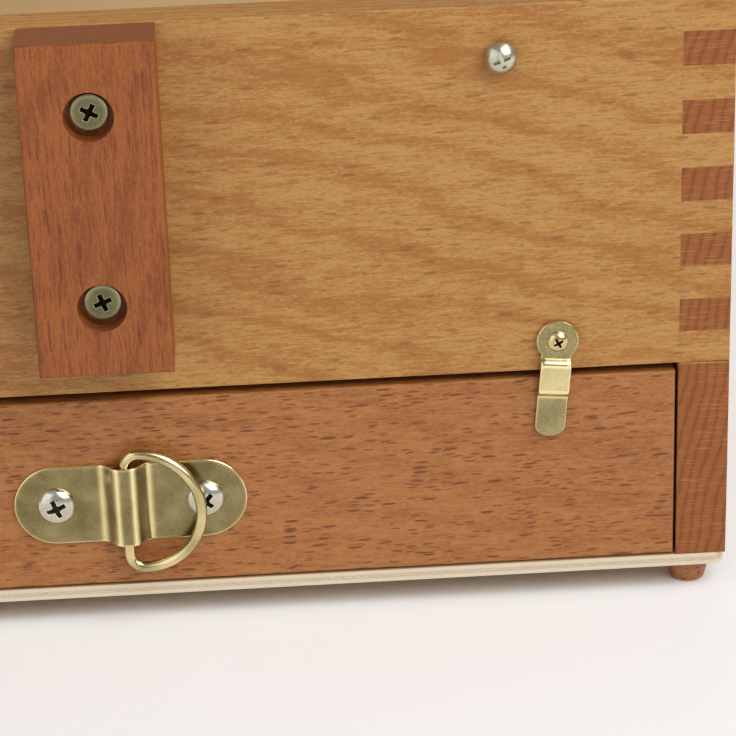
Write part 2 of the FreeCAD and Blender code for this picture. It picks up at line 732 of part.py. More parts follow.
def hook_studs(plain=False):
    """Studs on the front panel that the lid's hooks catch."""
    seat = V(hook_stud.x, -body_gap - hook_thick - pivot_gap, hook_stud.z)
    return both_sides(pan_screw(seat, V(0, -1, 0), 3.6, hook_screw_r, 1.8, 9.0, plain))


def hook_screws(plain=False):
    """Screws in the lid's front rail that the hooks turn on."""
    seat = hook_pivot - V(0, body_gap + hook_thick + pivot_gap, 0)
    return both_sides(pan_screw(seat, V(0, -1, 0), 3.2, hook_screw_r, 1.6, 8.0, plain))


def lid_hook():
    """Flat swing hook, turned aside from its stud."""
    back, face = -body_gap, -body_gap - hook_thick
    eye_r, end_r, half_arm = 5.0, 5.6, 3.4
    eye = rod(eye_r, V(0, back, 0), V(0, face, 0))
    arm = block(-half_arm, half_arm, face, back, -hook_reach, 0)
    end = rod(end_r, V(0, back, -hook_reach), V(0, face, -hook_reach))
    slot_half = hook_screw_r + body_gap
    mouth = block(0, 12, face - 1, back + 1, -hook_reach - slot_half, -hook_reach + slot_half)
    seat = rod(slot_half, V(0, back + 1, -hook_reach), V(0, face - 1, -hook_reach))
    bore = rod(hook_screw_r + pivot_gap, V(0, back + 1, 0), V(0, face - 1, 0))
    hook = fuse([eye, arm, end]).cut(Part.makeCompound([mouth, seat, bore]))
    hook.rotate(V(0, 0, 0), V(0, 1, 0), hook_aside)
    hook.translate(hook_pivot)
    return hook


# ---- Handle -------------------------------------------------------------------------------
handle_y = box_depth / 2


def handle_brackets():
    """Two brass plates on the right side, each with a bar over the strap's end."""
    pieces = []
    for side in (-1, 1):
        y = handle_y + side * handle_span / 2
        plate = block(half, half + bracket_thick, y - 12, y + 12, handle_z - 15, handle_z + 15)
        plate = rounded(plate, 4.0, lambda a, b: abs(a.x - b.x) > 0.5)
        ears = [block(half, half + handle_bar_out + 2.0, y - 2.0, y + 2.0, z0, z0 + 1.6)
                for z0 in (handle_z - handle_width / 2 - 2.2, handle_z + handle_width / 2 + 0.6)]
        bar = rod(handle_bar_r, V(half + handle_bar_out, y, handle_z - handle_width / 2 - 2.2),
                  V(half + handle_bar_out, y, handle_z + handle_width / 2 + 2.2))
        pieces.append(fuse([plate] + ears + [bar]))
    return Part.makeCompound(pieces).cut(Part.makeCompound(handle_screws(True)))


def handle_screws(plain=False):
    """One screw in each bracket plate, beyond the strap's end."""
    return [pan_screw(V(half + bracket_thick, handle_y + side * (handle_span / 2 + 8.0),
                        handle_z), V(1, 0, 0), 2.8, 1.5, 1.3, 9.0, plain)
            for side in (-1, 1)]


def carry_feet():
    """Domed feet on the left side, which the shut box stands on when it is put down."""
    feet = []
    for y in (carry_foot_inset, box_depth - carry_foot_inset):
        for z in (carry_foot_low, rim - carry_foot_low):
            dome = Part.makeSphere(12.0, V(-half + 9.0, y, z)).common(
                Part.makeCylinder(8.0, 10.0, V(-half, y, z), V(-1, 0, 0)))
            feet.append(dome)
    return Part.makeCompound(feet)


def carry_handle():
    """Leather strap that bows out between the two brackets and is sewn round their bars."""
    bar_x = half + handle_bar_out
    rise = handle_rise - handle_bar_out
    bow = (handle_span ** 2 / 4 + rise ** 2) / (2 * rise)
    low = handle_z - handle_width / 2
    centre = V(bar_x + rise - bow, handle_y, low)
    ring = Part.makeCylinder(bow + handle_thick / 2, handle_width, centre)
    ring = ring.cut(Part.makeCylinder(bow - handle_thick / 2, handle_width, centre))
    strap = ring.common(block(bar_x, half + 2 * handle_rise, handle_y - handle_span / 2,
                              handle_y + handle_span / 2, low, low + handle_width))
    loops = [Part.makeCylinder(handle_bar_r + 2.5, handle_width,
                               V(bar_x, handle_y + side * handle_span / 2, low))
             for side in (-1, 1)]
    return fuse([strap] + loops).cut(handle_brackets())


# ---- Nodes --------------------------------------------------------------------------------
def all_nodes():
    """Every node's name and shape, in the box's own frame."""
    rail = lid_side_rail()
    nodes = {
        "box_front_panel": front_panel(),
        "box_right_side": right_side_board(),
        "box_left_side": mirrored(side_board()),
        "box_back_panel": back_panel(),
        "box_bottom": box_bottom(),
        "box_feet": box_feet(),
        "front_strut": front_strut(),
        "front_strut_screws": Part.makeCompound(strut_screws()),
        "inner_floor": inner_floor(),
        "compartment_dividers": compartment_dividers(),
        "palette_rails": palette_rails(),
        "palette": palette(),
        "box_hinge_leaves": hinge_leaves(0, -1),
        "lid_hinge_pins": Part.makeCompound(hinge_pins()),
        "box_hinge_screws": Part.makeCompound(hinge_screws(-1)),
        "hook_studs": Part.makeCompound(hook_studs()),
        "stay_studs": Part.makeCompound(stay_studs()),
        "carry_feet": carry_feet(),
        "handle_screws": Part.makeCompound(handle_screws()),
        "handle_brackets": handle_brackets(),
        "carry_handle": carry_handle(),
        "latch_screws": Part.makeCompound(latch_screws()),
        "drawer_latch_right": drawer_latch(1),
        "drawer_latch_left": drawer_latch(-1),
        "drawer_front": drawer_front(),
        "drawer_sides": drawer_sides(),
        "drawer_back": drawer_back(),
        "drawer_bottom": drawer_bottom(),
        "drawer_dividers": drawer_dividers(),
        "ring_plate": ring_plate(),
        "ring_plate_screws": Part.makeCompound(plate_screws()),
        "drawer_ring": drawer_ring(),
        "lid_right_rail": swung(rail),
        "lid_left_rail": swung(mirrored(rail)),
        "lid_front_rail": swung(lid_front_rail()),
        "lid_back_rail": swung(lid_back_rail()),
        "lid_panel": swung(lid_panel()),
        "lid_hinge_leaves": swung(hinge_leaves(1, 1)),
        "lid_hinge_screws": swung(Part.makeCompound(hinge_screws(1))),
        "ledge_pins": swung(Part.makeCompound(ledge_pins())),
        "lid_stay_screws": swung(Part.makeCompound(stay_screws())),
        "hook_screws": swung(Part.makeCompound(hook_screws())),
        "lid_hook_right": swung(lid_hook()),
        "lid_hook_left": mirrored(swung(lid_hook())),
        "lid_stay_right": lid_stay(),
        "lid_stay_left": mirrored(lid_stay()),
        "stay_wing_nut_right": stay_wing_nut(),
        "stay_wing_nut_left": mirrored(stay_wing_nut()),
        "mast_guides": swung(mast_guides()),
        "mast_thumb_screw": swung(mast_thumb_screw()),
        "mast": swung(mast()),
        "top_clamp": swung(top_clamp()),
        "top_clamp_strap": swung(top_clamp_strap()),
        "canvas_ledge": swung(canvas_ledge()),
    }
    return nodes


def footprint_shift(nodes):
    """Move that puts the origin in the middle of the whole easel's footprint."""
    boxes = [shape.optimalBoundingBox(False, False) for shape in nodes.values()]
    return V(-(min(b.XMin for b in boxes) + max(b.XMax for b in boxes)) / 2,
             -(min(b.YMin for b in boxes) + max(b.YMax for b in boxes)) / 2,
             -min(b.ZMin for b in boxes))


nodes = all_nodes()
shift = footprint_shift(nodes)
os.makedirs("parts", exist_ok=True)
for name, shape in nodes.items():
    moved = shape.copy()
    moved.translate(shift)
    moved.exportStep(f"parts/{name}.step")
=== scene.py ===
"""Finishes and fine fittings for a table-top French box easel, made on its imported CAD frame.

Lengths in the code are millimetres in the box's own frame (middle of the front face x = 0,
front face y = 0, underside z = 0) unless a name says otherwise. Meshes are written in metres
in the frame of the row.
"""

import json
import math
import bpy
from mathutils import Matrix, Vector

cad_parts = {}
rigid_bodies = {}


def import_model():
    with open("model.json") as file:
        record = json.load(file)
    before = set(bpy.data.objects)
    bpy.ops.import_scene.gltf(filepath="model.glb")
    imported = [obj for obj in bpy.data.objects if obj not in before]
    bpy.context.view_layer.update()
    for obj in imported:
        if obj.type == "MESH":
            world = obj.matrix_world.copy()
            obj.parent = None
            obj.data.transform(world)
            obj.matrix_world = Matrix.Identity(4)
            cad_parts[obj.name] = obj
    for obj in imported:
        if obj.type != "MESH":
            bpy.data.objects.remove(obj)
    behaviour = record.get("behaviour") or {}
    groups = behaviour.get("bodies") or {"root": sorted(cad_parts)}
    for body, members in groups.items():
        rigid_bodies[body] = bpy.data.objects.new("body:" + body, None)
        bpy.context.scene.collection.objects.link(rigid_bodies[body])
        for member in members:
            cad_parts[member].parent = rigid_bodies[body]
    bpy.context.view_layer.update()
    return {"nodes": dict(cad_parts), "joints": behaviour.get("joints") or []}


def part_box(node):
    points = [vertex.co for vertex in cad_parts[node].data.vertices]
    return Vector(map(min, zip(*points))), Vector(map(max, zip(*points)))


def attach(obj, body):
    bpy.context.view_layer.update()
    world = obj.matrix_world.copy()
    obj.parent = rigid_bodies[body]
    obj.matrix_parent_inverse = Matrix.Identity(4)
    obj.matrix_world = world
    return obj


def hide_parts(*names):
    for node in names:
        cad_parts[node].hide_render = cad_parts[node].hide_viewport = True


bl_info = {
    "name": "French box easel",
    "version": (1, 0, 0),
    "blender": (4, 5, 0),
    "location": "3D View > Sidebar > Easel",
    "description": "Builds the boards, fittings and stage of a table-top French box easel",
    "category": "Add Mesh",
}

import bmesh
import bpy
import numpy as np
from bpy.props import FloatProperty, FloatVectorProperty, PointerProperty
from mathutils import Matrix, Vector

for start_object in list(bpy.data.objects):
    bpy.data.objects.remove(start_object, do_unlink=True)
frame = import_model()

MM = 0.001
bottom_low, bottom_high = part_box("box_bottom")
BOX_ORIGIN = np.array([(bottom_low.x + bottom_high.x) / 2,
                       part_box("box_front_panel")[0].y, bottom_low.z])
JOINTS = {joint["name"]: joint for joint in frame["joints"]}
LID_OPEN = math.radians(-JOINTS["lid_hinge"]["range_deg"][0])
LID_TURN = Matrix.Rotation(LID_OPEN, 3, (-1, 0, 0))
X, Y, Z = Vector((1, 0, 0)), Vector((0, 1, 0)), Vector((0, 0, 1))
LID_Y, LID_Z = LID_TURN @ Y, LID_TURN @ Z
FRONT, UP = (0, -1, 0), (0, 0, 1)


# ---- Places ---------------------------------------------------------------------------------
def metres(points):
    """Box-frame millimetres as row-frame metres."""
    return BOX_ORIGIN + np.asarray(points, float) * MM


def span(node):
    """Lowest and highest corner of a CAD node in the box's frame, millimetres."""
    return [(np.array(corner) - BOX_ORIGIN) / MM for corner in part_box(node)]


def pivot(joint):
    """A joint's centre in the box's frame, millimetres."""
    return (np.array(JOINTS[joint]["pos_m"]) - BOX_ORIGIN) / MM


def placed(local, origin, out, up):
    """Local (right, up, out) millimetres set on a face at origin, as row-frame metres."""
    out, up = np.array(out, float), np.array(up, float)
    right = np.cross(up, out)
    return metres(origin + local[..., :1] * right + local[..., 1:2] * up
                  + local[..., 2:3] * out)


# ---- Mesh tools -----------------------------------------------------------------------------
def grid_faces(count_u, count_v, loop_u, loop_v, start):
    """Quads between neighbours of a grid, joined end to end where it loops."""
    index = np.arange(count_u * count_v).reshape(count_u, count_v) + start
    if loop_u:
        index = np.vstack([index, index[:1]])
    if loop_v:
        index = np.hstack([index, index[:, :1]])
    return np.stack([index[:-1, :-1], index[1:, :-1], index[1:, 1:], index[:-1, 1:]],
                    axis=-1).reshape(-1, 4)


def finish_mesh(mesh, sharp_degrees):
    """Merges seams and poles, turns the faces outwards and keeps edges past an angle crisp."""
    work = bmesh.new()
    work.from_mesh(mesh)
    bmesh.ops.remove_doubles(work, verts=work.verts, dist=2e-6)
    bmesh.ops.dissolve_degenerate(work, edges=work.edges, dist=1e-7)
    bmesh.ops.recalc_face_normals(work, faces=work.faces)
    work.to_mesh(mesh)
    work.free()
    mesh.shade_smooth()
    mesh.set_sharp_from_angle(angle=math.radians(sharp_degrees))


def place_piece(name, mesh, body, finish, stands_for):
    """Links a finished mesh, gives it its finish and lets it ride in place of CAD nodes."""
    thing = bpy.data.objects.new(name, mesh)
    bpy.context.scene.collection.objects.link(thing)
    mesh.materials.clear()
    mesh.materials.append(finish)
    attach(thing, body)
    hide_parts(*stands_for)
    return thing


def new_piece(name, patches, body, finish, stands_for, sharp_degrees=40.0):
    """One piece from patches of (points in metres, wear and painted light from 0 to 1, loop_u,
    loop_v).
    """
    points, all_wear_and_painted_light, faces, start = [], [], [], 0
    for grid, wear_and_painted_light, loop_u, loop_v in patches:
        count_u, count_v = grid.shape[:2]
        faces.append(grid_faces(count_u, count_v, loop_u, loop_v, start))
        points.append(grid.reshape(-1, 3))
        all_wear_and_painted_light.append(np.broadcast_to(wear_and_painted_light, (count_u, count_v)).ravel())
        start += count_u * count_v
    points, all_wear_and_painted_light, faces = np.concatenate(points), np.concatenate(all_wear_and_painted_light), np.concatenate(faces)
    mesh = bpy.data.meshes.new(name)
    mesh.vertices.add(len(points))
    mesh.vertices.foreach_set("co", points.ravel())
    mesh.loops.add(faces.size)
    mesh.loops.foreach_set("vertex_index", faces.ravel())
    mesh.polygons.add(len(faces))
    mesh.polygons.foreach_set("loop_start", np.arange(0, faces.size, 4))
    mesh.update(calc_edges=True)
    # the attribute holds wear, painted highlights, and painted shade below 0
    wear_and_painted_light = mesh.attributes.new("wear_and_painted_light", "FLOAT", "POINT")
    wear_and_painted_light.data.foreach_set("value", all_wear_and_painted_light.astype(np.float32))
    finish_mesh(mesh, sharp_degrees)
    return place_piece(name, mesh, body, finish, stands_for)


def eased_copy(node, width, body, finish, chosen=None):
    """A CAD board with its arrises taken off: all of them, or those whose middles are chosen."""
    mesh = frame["nodes"][node].data.copy()
    if "custom_normal" in mesh.attributes:
        mesh.attributes.remove(mesh.attributes["custom_normal"])
    finish_mesh(mesh, 30.0)
    thing = place_piece(node + "_eased", mesh, body, finish, [node])
    if chosen:
        ends = np.empty(len(mesh.edges) * 2, np.int32)
        mesh.edges.foreach_get("vertices", ends)
        spots = np.empty(len(mesh.vertices) * 3)
        mesh.vertices.foreach_get("co", spots)
        spots = (spots.reshape(-1, 3) - BOX_ORIGIN) / MM
        picked = chosen(spots[ends[::2]], spots[ends[1::2]])
        weight = mesh.attributes.new("bevel_weight_edge", "FLOAT", "EDGE")
        weight.data.foreach_set("value", picked.astype(np.float32))
    bevel = thing.modifiers.new("Eased edges", "BEVEL")
    bevel.limit_method = "WEIGHT" if chosen else "ANGLE"
    bevel.angle_limit = math.radians(40)
    bevel.width = width * MM
    bevel.segments = 3
    bevel.harden_normals = True
    bevel.use_clamp_overlap = True
    return thing


# ---- Surfaces -------------------------------------------------------------------------------
def turned(profile, sides):
    """A profile of (radius, height) pairs carried round the local out axis in a full circle."""
    profile = np.asarray(profile, float)
    angle = np.linspace(0, 2 * np.pi, sides, endpoint=False)
    radius, height = profile[:, :1], profile[:, 1:]
    return np.stack([radius * np.cos(angle), radius * np.sin(angle),
                     height + 0 * angle], axis=-1)


def tangents(path):
    """Unit directions along an open path."""
    along = np.gradient(path, axis=0)
    return along / np.linalg.norm(along, axis=1, keepdims=True)


def loop_tube(path, across, radius, sides):
    """A circle carried round a closed flat path; across is the normal of the path's plane."""
    along = np.roll(path, -1, 0) - np.roll(path, 1, 0)
    along /= np.linalg.norm(along, axis=1, keepdims=True)
    inward = np.cross(across, along)
    angle = np.linspace(0, 2 * np.pi, sides, endpoint=False)[:, None]
    return (path[:, None] + radius * np.cos(angle) * inward[:, None]
            + radius * np.sin(angle) * across)


def ribbon(path, right, half_width, thickness, flat_steps=8, edge_steps=6):
    """A flat section with half-round edges carried along a path, square to it at each station.

    Round the section, u runs along the flats and phi round the edges; a point is the station
    plus (u (w - c) + c cos phi) right plus (t / 2) sin phi normal, with c = min(t / 2, w).
    """
    half_width = np.broadcast_to(half_width, len(path))[:, None]
    thickness = np.broadcast_to(thickness, len(path))[:, None]
    flat, bend = np.linspace(-1, 1, flat_steps), np.linspace(0.5, -0.5, edge_steps)[1:-1] * np.pi
    u = np.concatenate([flat, np.ones(len(bend)), -flat, -np.ones(len(bend))])
    phi = np.concatenate([np.full(len(flat), np.pi / 2), bend,
                          np.full(len(flat), -np.pi / 2), bend - np.pi])
    edge = np.minimum(thickness / 2, half_width)
    side = u * (half_width - edge) + edge * np.cos(phi)
    normal = np.cross(right, tangents(path))
    grid = (path[:, None] + side[..., None] * right
            + (thickness / 2 * np.sin(phi))[..., None] * normal[:, None])
    return grid, np.abs(np.cos(phi))


def capped(grid):
    """The grid with each open end drawn together to its middle."""
    first, last = (np.broadcast_to(end.mean(1, keepdims=True), end.shape)
                   for end in (grid[:1], grid[-1:]))
    return np.concatenate([first, grid, last])


def smooth_step(low, high, value):
    """0 below low, 1 above high, and a soft S between."""
    share = np.clip((value - low) / (high - low), 0, 1)
    return share * share * (3 - 2 * share)


def bell(value, middle, width):
    """1 at the middle, falling off to both sides as exp(-(distance / width)^2)."""
    return np.exp(-((value - middle) / width) ** 2)


def screw_head(radius, height, turn_degrees, flat=False, rings=34, spokes=112):
    """A screw's head over a polar grid: a low dome, or a flat face, less a cross recess.

    Dome: h (1 - (r / R)^2.4)^0.6. The recess is two crossed arms and a hub, whose walls slope
    over a short distance, deeper towards the middle. A short skirt closes the head underneath.
    """
    share = np.concatenate([np.linspace(0, 0.62, rings), np.linspace(0.66, 1, 12)])
    angle = np.linspace(0, 2 * np.pi, spokes, endpoint=False)
    across = radius * share[:, None] * np.cos(angle)
    upward = radius * share[:, None] * np.sin(angle)
    reach = share[:, None] + 0 * angle
    if flat:
        dome = -0.12 * reach ** 14
    else:
        dome = height * np.clip(1 - reach ** 2.4, 0, 1) ** 0.6
    turn = math.radians(turn_degrees)
    along = np.abs(across * math.cos(turn) + upward * math.sin(turn)) / radius
    aside = np.abs(upward * math.cos(turn) - across * math.sin(turn)) / radius
    arm_long, arm_half, hub_radius, slope, deepest = 0.5, 0.125, 0.21, 0.05, 0.5
    arms = np.minimum(np.maximum(along - arm_long, aside - arm_half),
                      np.maximum(aside - arm_long, along - arm_half))
    recess = np.minimum(arms, reach - hub_radius)
    walls = np.clip(-recess / slope, 0, 1)
    shallower = 0.55 * reach / arm_long * (reach < arm_long)
    top = np.stack([across, upward, dome - radius * deepest * walls * (1 - shallower)], axis=-1)
    rubbed = np.clip(reach ** 8 + bell(recess, 0, 0.03), 0, 1)
    # painted shade: the recess walls get values below 0, which the metal paints near black
    wear_and_painted_light = rubbed * (1 - walls) - 0.9 * walls
    low = -0.6 * radius if flat else 0.0
    skirt = turned([(radius, dome.min() if flat else 0.0), (radius * 0.98, low * 0.3 - 0.05),
                    (radius * 0.5, low - 0.15), (0.0, low - 0.15)], spokes)
    return [(top, wear_and_painted_light), (skirt, 0.0)]


def pressed_plate(reach, end, rod_x, rise):
    """A stadium of sheet with a saddle pressed over a rod; returns its points and its wear and
    painted highlights.

    A point is the middle line plus (end - inset) along the outline's normal. Its height is the
    sheet plus a raised cosine over the rod, and lift takes it from the back to the face round
    the rim.
    """
    sheet, thinning, rod_half, flank = 1.0, 0.42, 1.3, 4.9
    run = np.linspace(-reach, reach, 181)
    bend = np.linspace(-np.pi / 2, np.pi / 2, 33)[1:-1]
    across = np.concatenate([run, np.full(len(bend), reach), run[::-1],
                             np.full(len(bend), -reach)])
    normal = np.concatenate([np.full(len(run), -np.pi / 2), bend,
                             np.full(len(run), np.pi / 2), bend + np.pi])
    inset = np.array([end, end * 0.6, 0.3, 0.05, 0.0, 0.0, 0.06, 0.2, 0.45, 0.9,
                      end * 0.3, end * 0.6, end])
    lift = np.array([0, 0, 0, 0.0, 0.14, 0.62, 0.84, 0.96, 1, 1, 1, 1, 1.0])
    x = across[:, None] + (end - inset) * np.cos(normal)[:, None]
    z = (end - inset) * np.sin(normal)[:, None]
    from_rod = np.abs(x - rod_x)
    bump = 0.5 + 0.5 * np.cos(np.pi * np.clip((from_rod - rod_half) / flank, 0, 1))
    face = sheet + rise * bump
    back = np.maximum(face - (sheet - thinning * bump), 0.0)
    grid = np.stack([x, z, back + (face - back) * lift], axis=-1)
    # painted highlights: bright lines along the saddle's ridges, and brightening round the rim
    crest_highlight = bell(from_rod, 1.9, 0.55) + 0.75 * bell(from_rod, 5.6, 0.7)
    return grid, np.clip(0.9 * crest_highlight + bell(inset, 0, 0.3) * (lift > 0.1), 0, 1)


def d_ring_path(rise, reach, corner):
    """A ring's path as (out, up): a straight rod, two small corners and a half circle."""
    rod = np.linspace(corner - rise, rise - corner, 24)
    turn = np.linspace(np.pi, np.pi / 2, 9)[1:]
    half = np.linspace(np.pi / 2, -np.pi / 2, 49)
    out = np.concatenate([np.zeros(len(rod)), corner + corner * np.cos(turn),
                          (reach - rise) + rise * np.cos(half),
                          corner + corner * np.cos(-turn[::-1])])
    up = np.concatenate([rod, rise - corner + corner * np.sin(turn), rise * np.sin(half),
                         corner - rise + corner * np.sin(-turn[::-1])])
    return out, up


def latch_surface(disc, neck, length, thick, step):
    """A stamped latch that hangs from its disc; returns its points and its wear and painted
    highlights.

    Half width along it: the disc's chord, a straight neck and a blunt round tip. Its depth
    steps out over the drawer's edge at the upper bend and back at the lower one.
    """
    gap, upper, lower, blunt = 0.3, -4.9, -12.6, neck * 0.8
    joint_at = math.acos(-math.sqrt(1 - (neck / disc) ** 2))
    round_part = np.linspace(0, joint_at, 40)
    tip = np.linspace(0, np.pi / 2, 16)[1:]
    straight = np.linspace(disc * math.cos(joint_at), blunt - length, 90)[1:]
    along = np.concatenate([disc * np.cos(round_part), straight,
                            straight[-1] - blunt * np.sin(tip)])
    width = np.concatenate([disc * np.sin(round_part), np.full(len(straight), neck),
                            neck * np.cos(tip) ** 0.75])
    out = step * (smooth_step(-upper - 0.7, -upper + 0.9, -along)
                  - smooth_step(-lower - 0.4, -lower + 1.3, -along))
    raised = smooth_step(-upper, -upper + 1, -along) * smooth_step(lower - 0.5, lower, along)
    # painted highlights: bright lines at the two bends and a lighter raised middle
    bend_highlights = (bell(along, upper - 0.9, 0.35) + bell(along, lower + 0.2, 0.3)
             + 0.5 * bell(along, lower - 1.4, 0.4) + 0.45 * raised)
    path = np.stack([np.zeros(len(along)), along, gap + thick / 2 + out], axis=-1)
    grid, rim = ribbon(path, np.array([-1.0, 0, 0]), width, thick)
    return grid, np.clip(0.75 * rim + bend_highlights[:, None] + 0.12, 0, 1)


def strap_line(start, stop, bar_x, loop, rise):
    """Middle line of a strap between two bars, as (x, y): an arc, and a curl round each bar.

    With half the chord c and height h = rise - loop, the arc's radius is (c^2 + h^2) / 2h. Its
    ends are drawn onto the curls' by high powers of the place along it, from -1 to 1.
    """
    middle, half, height = (start + stop) / 2, (stop - start) / 2, rise - loop
    bow = (half ** 2 + height ** 2) / (2 * height)
    sweep = math.asin(half / bow)
    arc = np.linspace(-sweep, sweep, 90)
    curl = sweep + np.linspace(1.0, 0.0, 26)[:-1] * 1.55 * np.pi
    lead = np.stack([bar_x + loop * np.cos(curl), start - loop * np.sin(curl)], axis=-1)
    line = np.stack([bar_x + rise - bow + bow * np.cos(arc), middle + bow * np.sin(arc)],
                    axis=-1)
    curl_end = np.array([bar_x + loop * math.cos(sweep), start - loop * math.sin(sweep)])
    place = np.linspace(-1, 1, len(arc))
    line += (curl_end - line[0]) * np.stack([np.abs(place) ** 6, -place ** 7], axis=-1)
    tail = lead[::-1] * (1, -1) + (0, 2 * middle)
    return np.concatenate([lead, line, tail])


def stitch_bead(middle, along, out, length, radius):
    """One stitch, as an ellipsoid: long along the path, round across it, outwards and in z."""
    theta = np.linspace(0, np.pi, 5)[:, None, None]
    phi = np.linspace(0, 2 * np.pi, 6, endpoint=False)[:, None]
    return (middle + length / 2 * np.cos(theta) * along
            + radius * np.sin(theta) * (np.cos(phi) * out + np.sin(phi) * np.array([0, 0, 1])))


def screws(name, spots, radius, height, body, finish, stands_for, flat=False, shine=0.0):
    """Screw heads on the front as one piece; a spot is a head's place and its cross's turn."""
    patches = []
    for place, turn in spots:
        for part, wear_and_painted_light in screw_head(radius, height, turn, flat):
            wear_and_painted_light = np.where(wear_and_painted_light < 0, wear_and_painted_light, np.clip(wear_and_painted_light + shine, 0, 1))
            patches.append((placed(part, place, FRONT, UP), wear_and_painted_light, False, True))
    new_piece(name, patches, body, finish, stands_for, 50.0)


# ---- Shader tools ---------------------------------------------------------------------------
class Nodes:
    """Short hand for adding shader nodes to a tree and joining them."""

    def __init__(self, tree):
        self.tree = tree

    def give(self, socket, value):
        """An input's value, or the socket that it is joined to."""
        if isinstance(value, bpy.types.NodeSocket):
            self.tree.links.new(value, socket)
        else:
            socket.default_value = value

    def fill(self, node, inputs):
        """Gives a node's inputs by name or by number."""
        for key, value in dict(inputs).items():
            self.give(node.inputs[key], value)

    def add(self, kind, inputs=(), **settings):
        """A node with its settings, and its inputs given as values or as sockets."""
        node = self.tree.nodes.new(kind)
        for key, value in settings.items():
            setattr(node, key, value)
        self.fill(node, inputs)
        return node

    def math(self, operation, *values, clamp=False):
        node = self.add("ShaderNodeMath", enumerate(values), operation=operation,
                        use_clamp=clamp)
        return node.outputs[0]

    def vector(self, operation, *values):
        node = self.add("ShaderNodeVectorMath", enumerate(values), operation=operation)
        return node.outputs["Value" if operation == "DOT_PRODUCT" else "Vector"]

    def sway(self, value, amount, base, clamp=False):
        """A base plus an amount times how far a value from 0 to 1 is past its middle."""
        return self.math("MULTIPLY_ADD", self.math("SUBTRACT", value, 0.5), amount, base,
                         clamp=clamp)

    def millimetres(self, vector):
        """Coordinates in metres as millimetres."""
        return self.vector("MULTIPLY", vector, (1 / MM, 1 / MM, 1 / MM))

    def noise(self, vector, scale, detail=2.0):
        """Noise about 0.5 on a vector stretched by three scales, in repeats a millimetre."""
        stretched = self.vector("MULTIPLY", vector, scale)
        node = self.add("ShaderNodeTexNoise", {"Vector": stretched, "Scale": 1.0,
                                               "Detail": detail, "Roughness": 0.55})
        return node.outputs["Fac"]

    def ramp(self, value, low, high):
        """Smooth step from 0 at low to 1 at high."""
        node = self.add("ShaderNodeMapRange", {"Value": value, "From Min": low,
                                               "From Max": high},
                        interpolation_type="SMOOTHSTEP")
        return node.outputs["Result"]

    def mix(self, share, first, second):
        """One colour laid over another by a share from 0 to 1."""
        node = self.add("ShaderNodeMix", data_type="RGBA")
        for key, value in (("Factor_Float", share), ("A_Color", first), ("B_Color", second)):
            self.give(next(s for s in node.inputs if s.identifier == key), value)
        return next(s for s in node.outputs if s.identifier == "Result_Color")


SOCKETS = {1: "NodeSocketFloat", 3: "NodeSocketVector", 4: "NodeSocketColor"}


def effect(name, inputs):
    """A node group that will give a finish; returns its nodes and its input sockets.

    A default's length says what its input is: a number, a vector or a colour.
    """
    tree = bpy.data.node_groups.new(name, "ShaderNodeTree")
    for label, default in inputs.items():
        socket = tree.interface.new_socket(label, in_out="INPUT",
                                           socket_type=SOCKETS[np.size(default)])
        socket.default_value = default
    for label, size in (("Color", 4), ("Roughness", 1), ("Height", 1)):
        tree.interface.new_socket(label, in_out="OUTPUT", socket_type=SOCKETS[size])
    nodes = Nodes(tree)
    return nodes, nodes.add("NodeGroupInput").outputs


def give_out(nodes, colour, rough, height):
    """Joins results to a group's outputs and returns the group."""
    nodes.add("NodeGroupOutput", {"Color": colour, "Roughness": rough, "Height": height})
    return nodes.tree


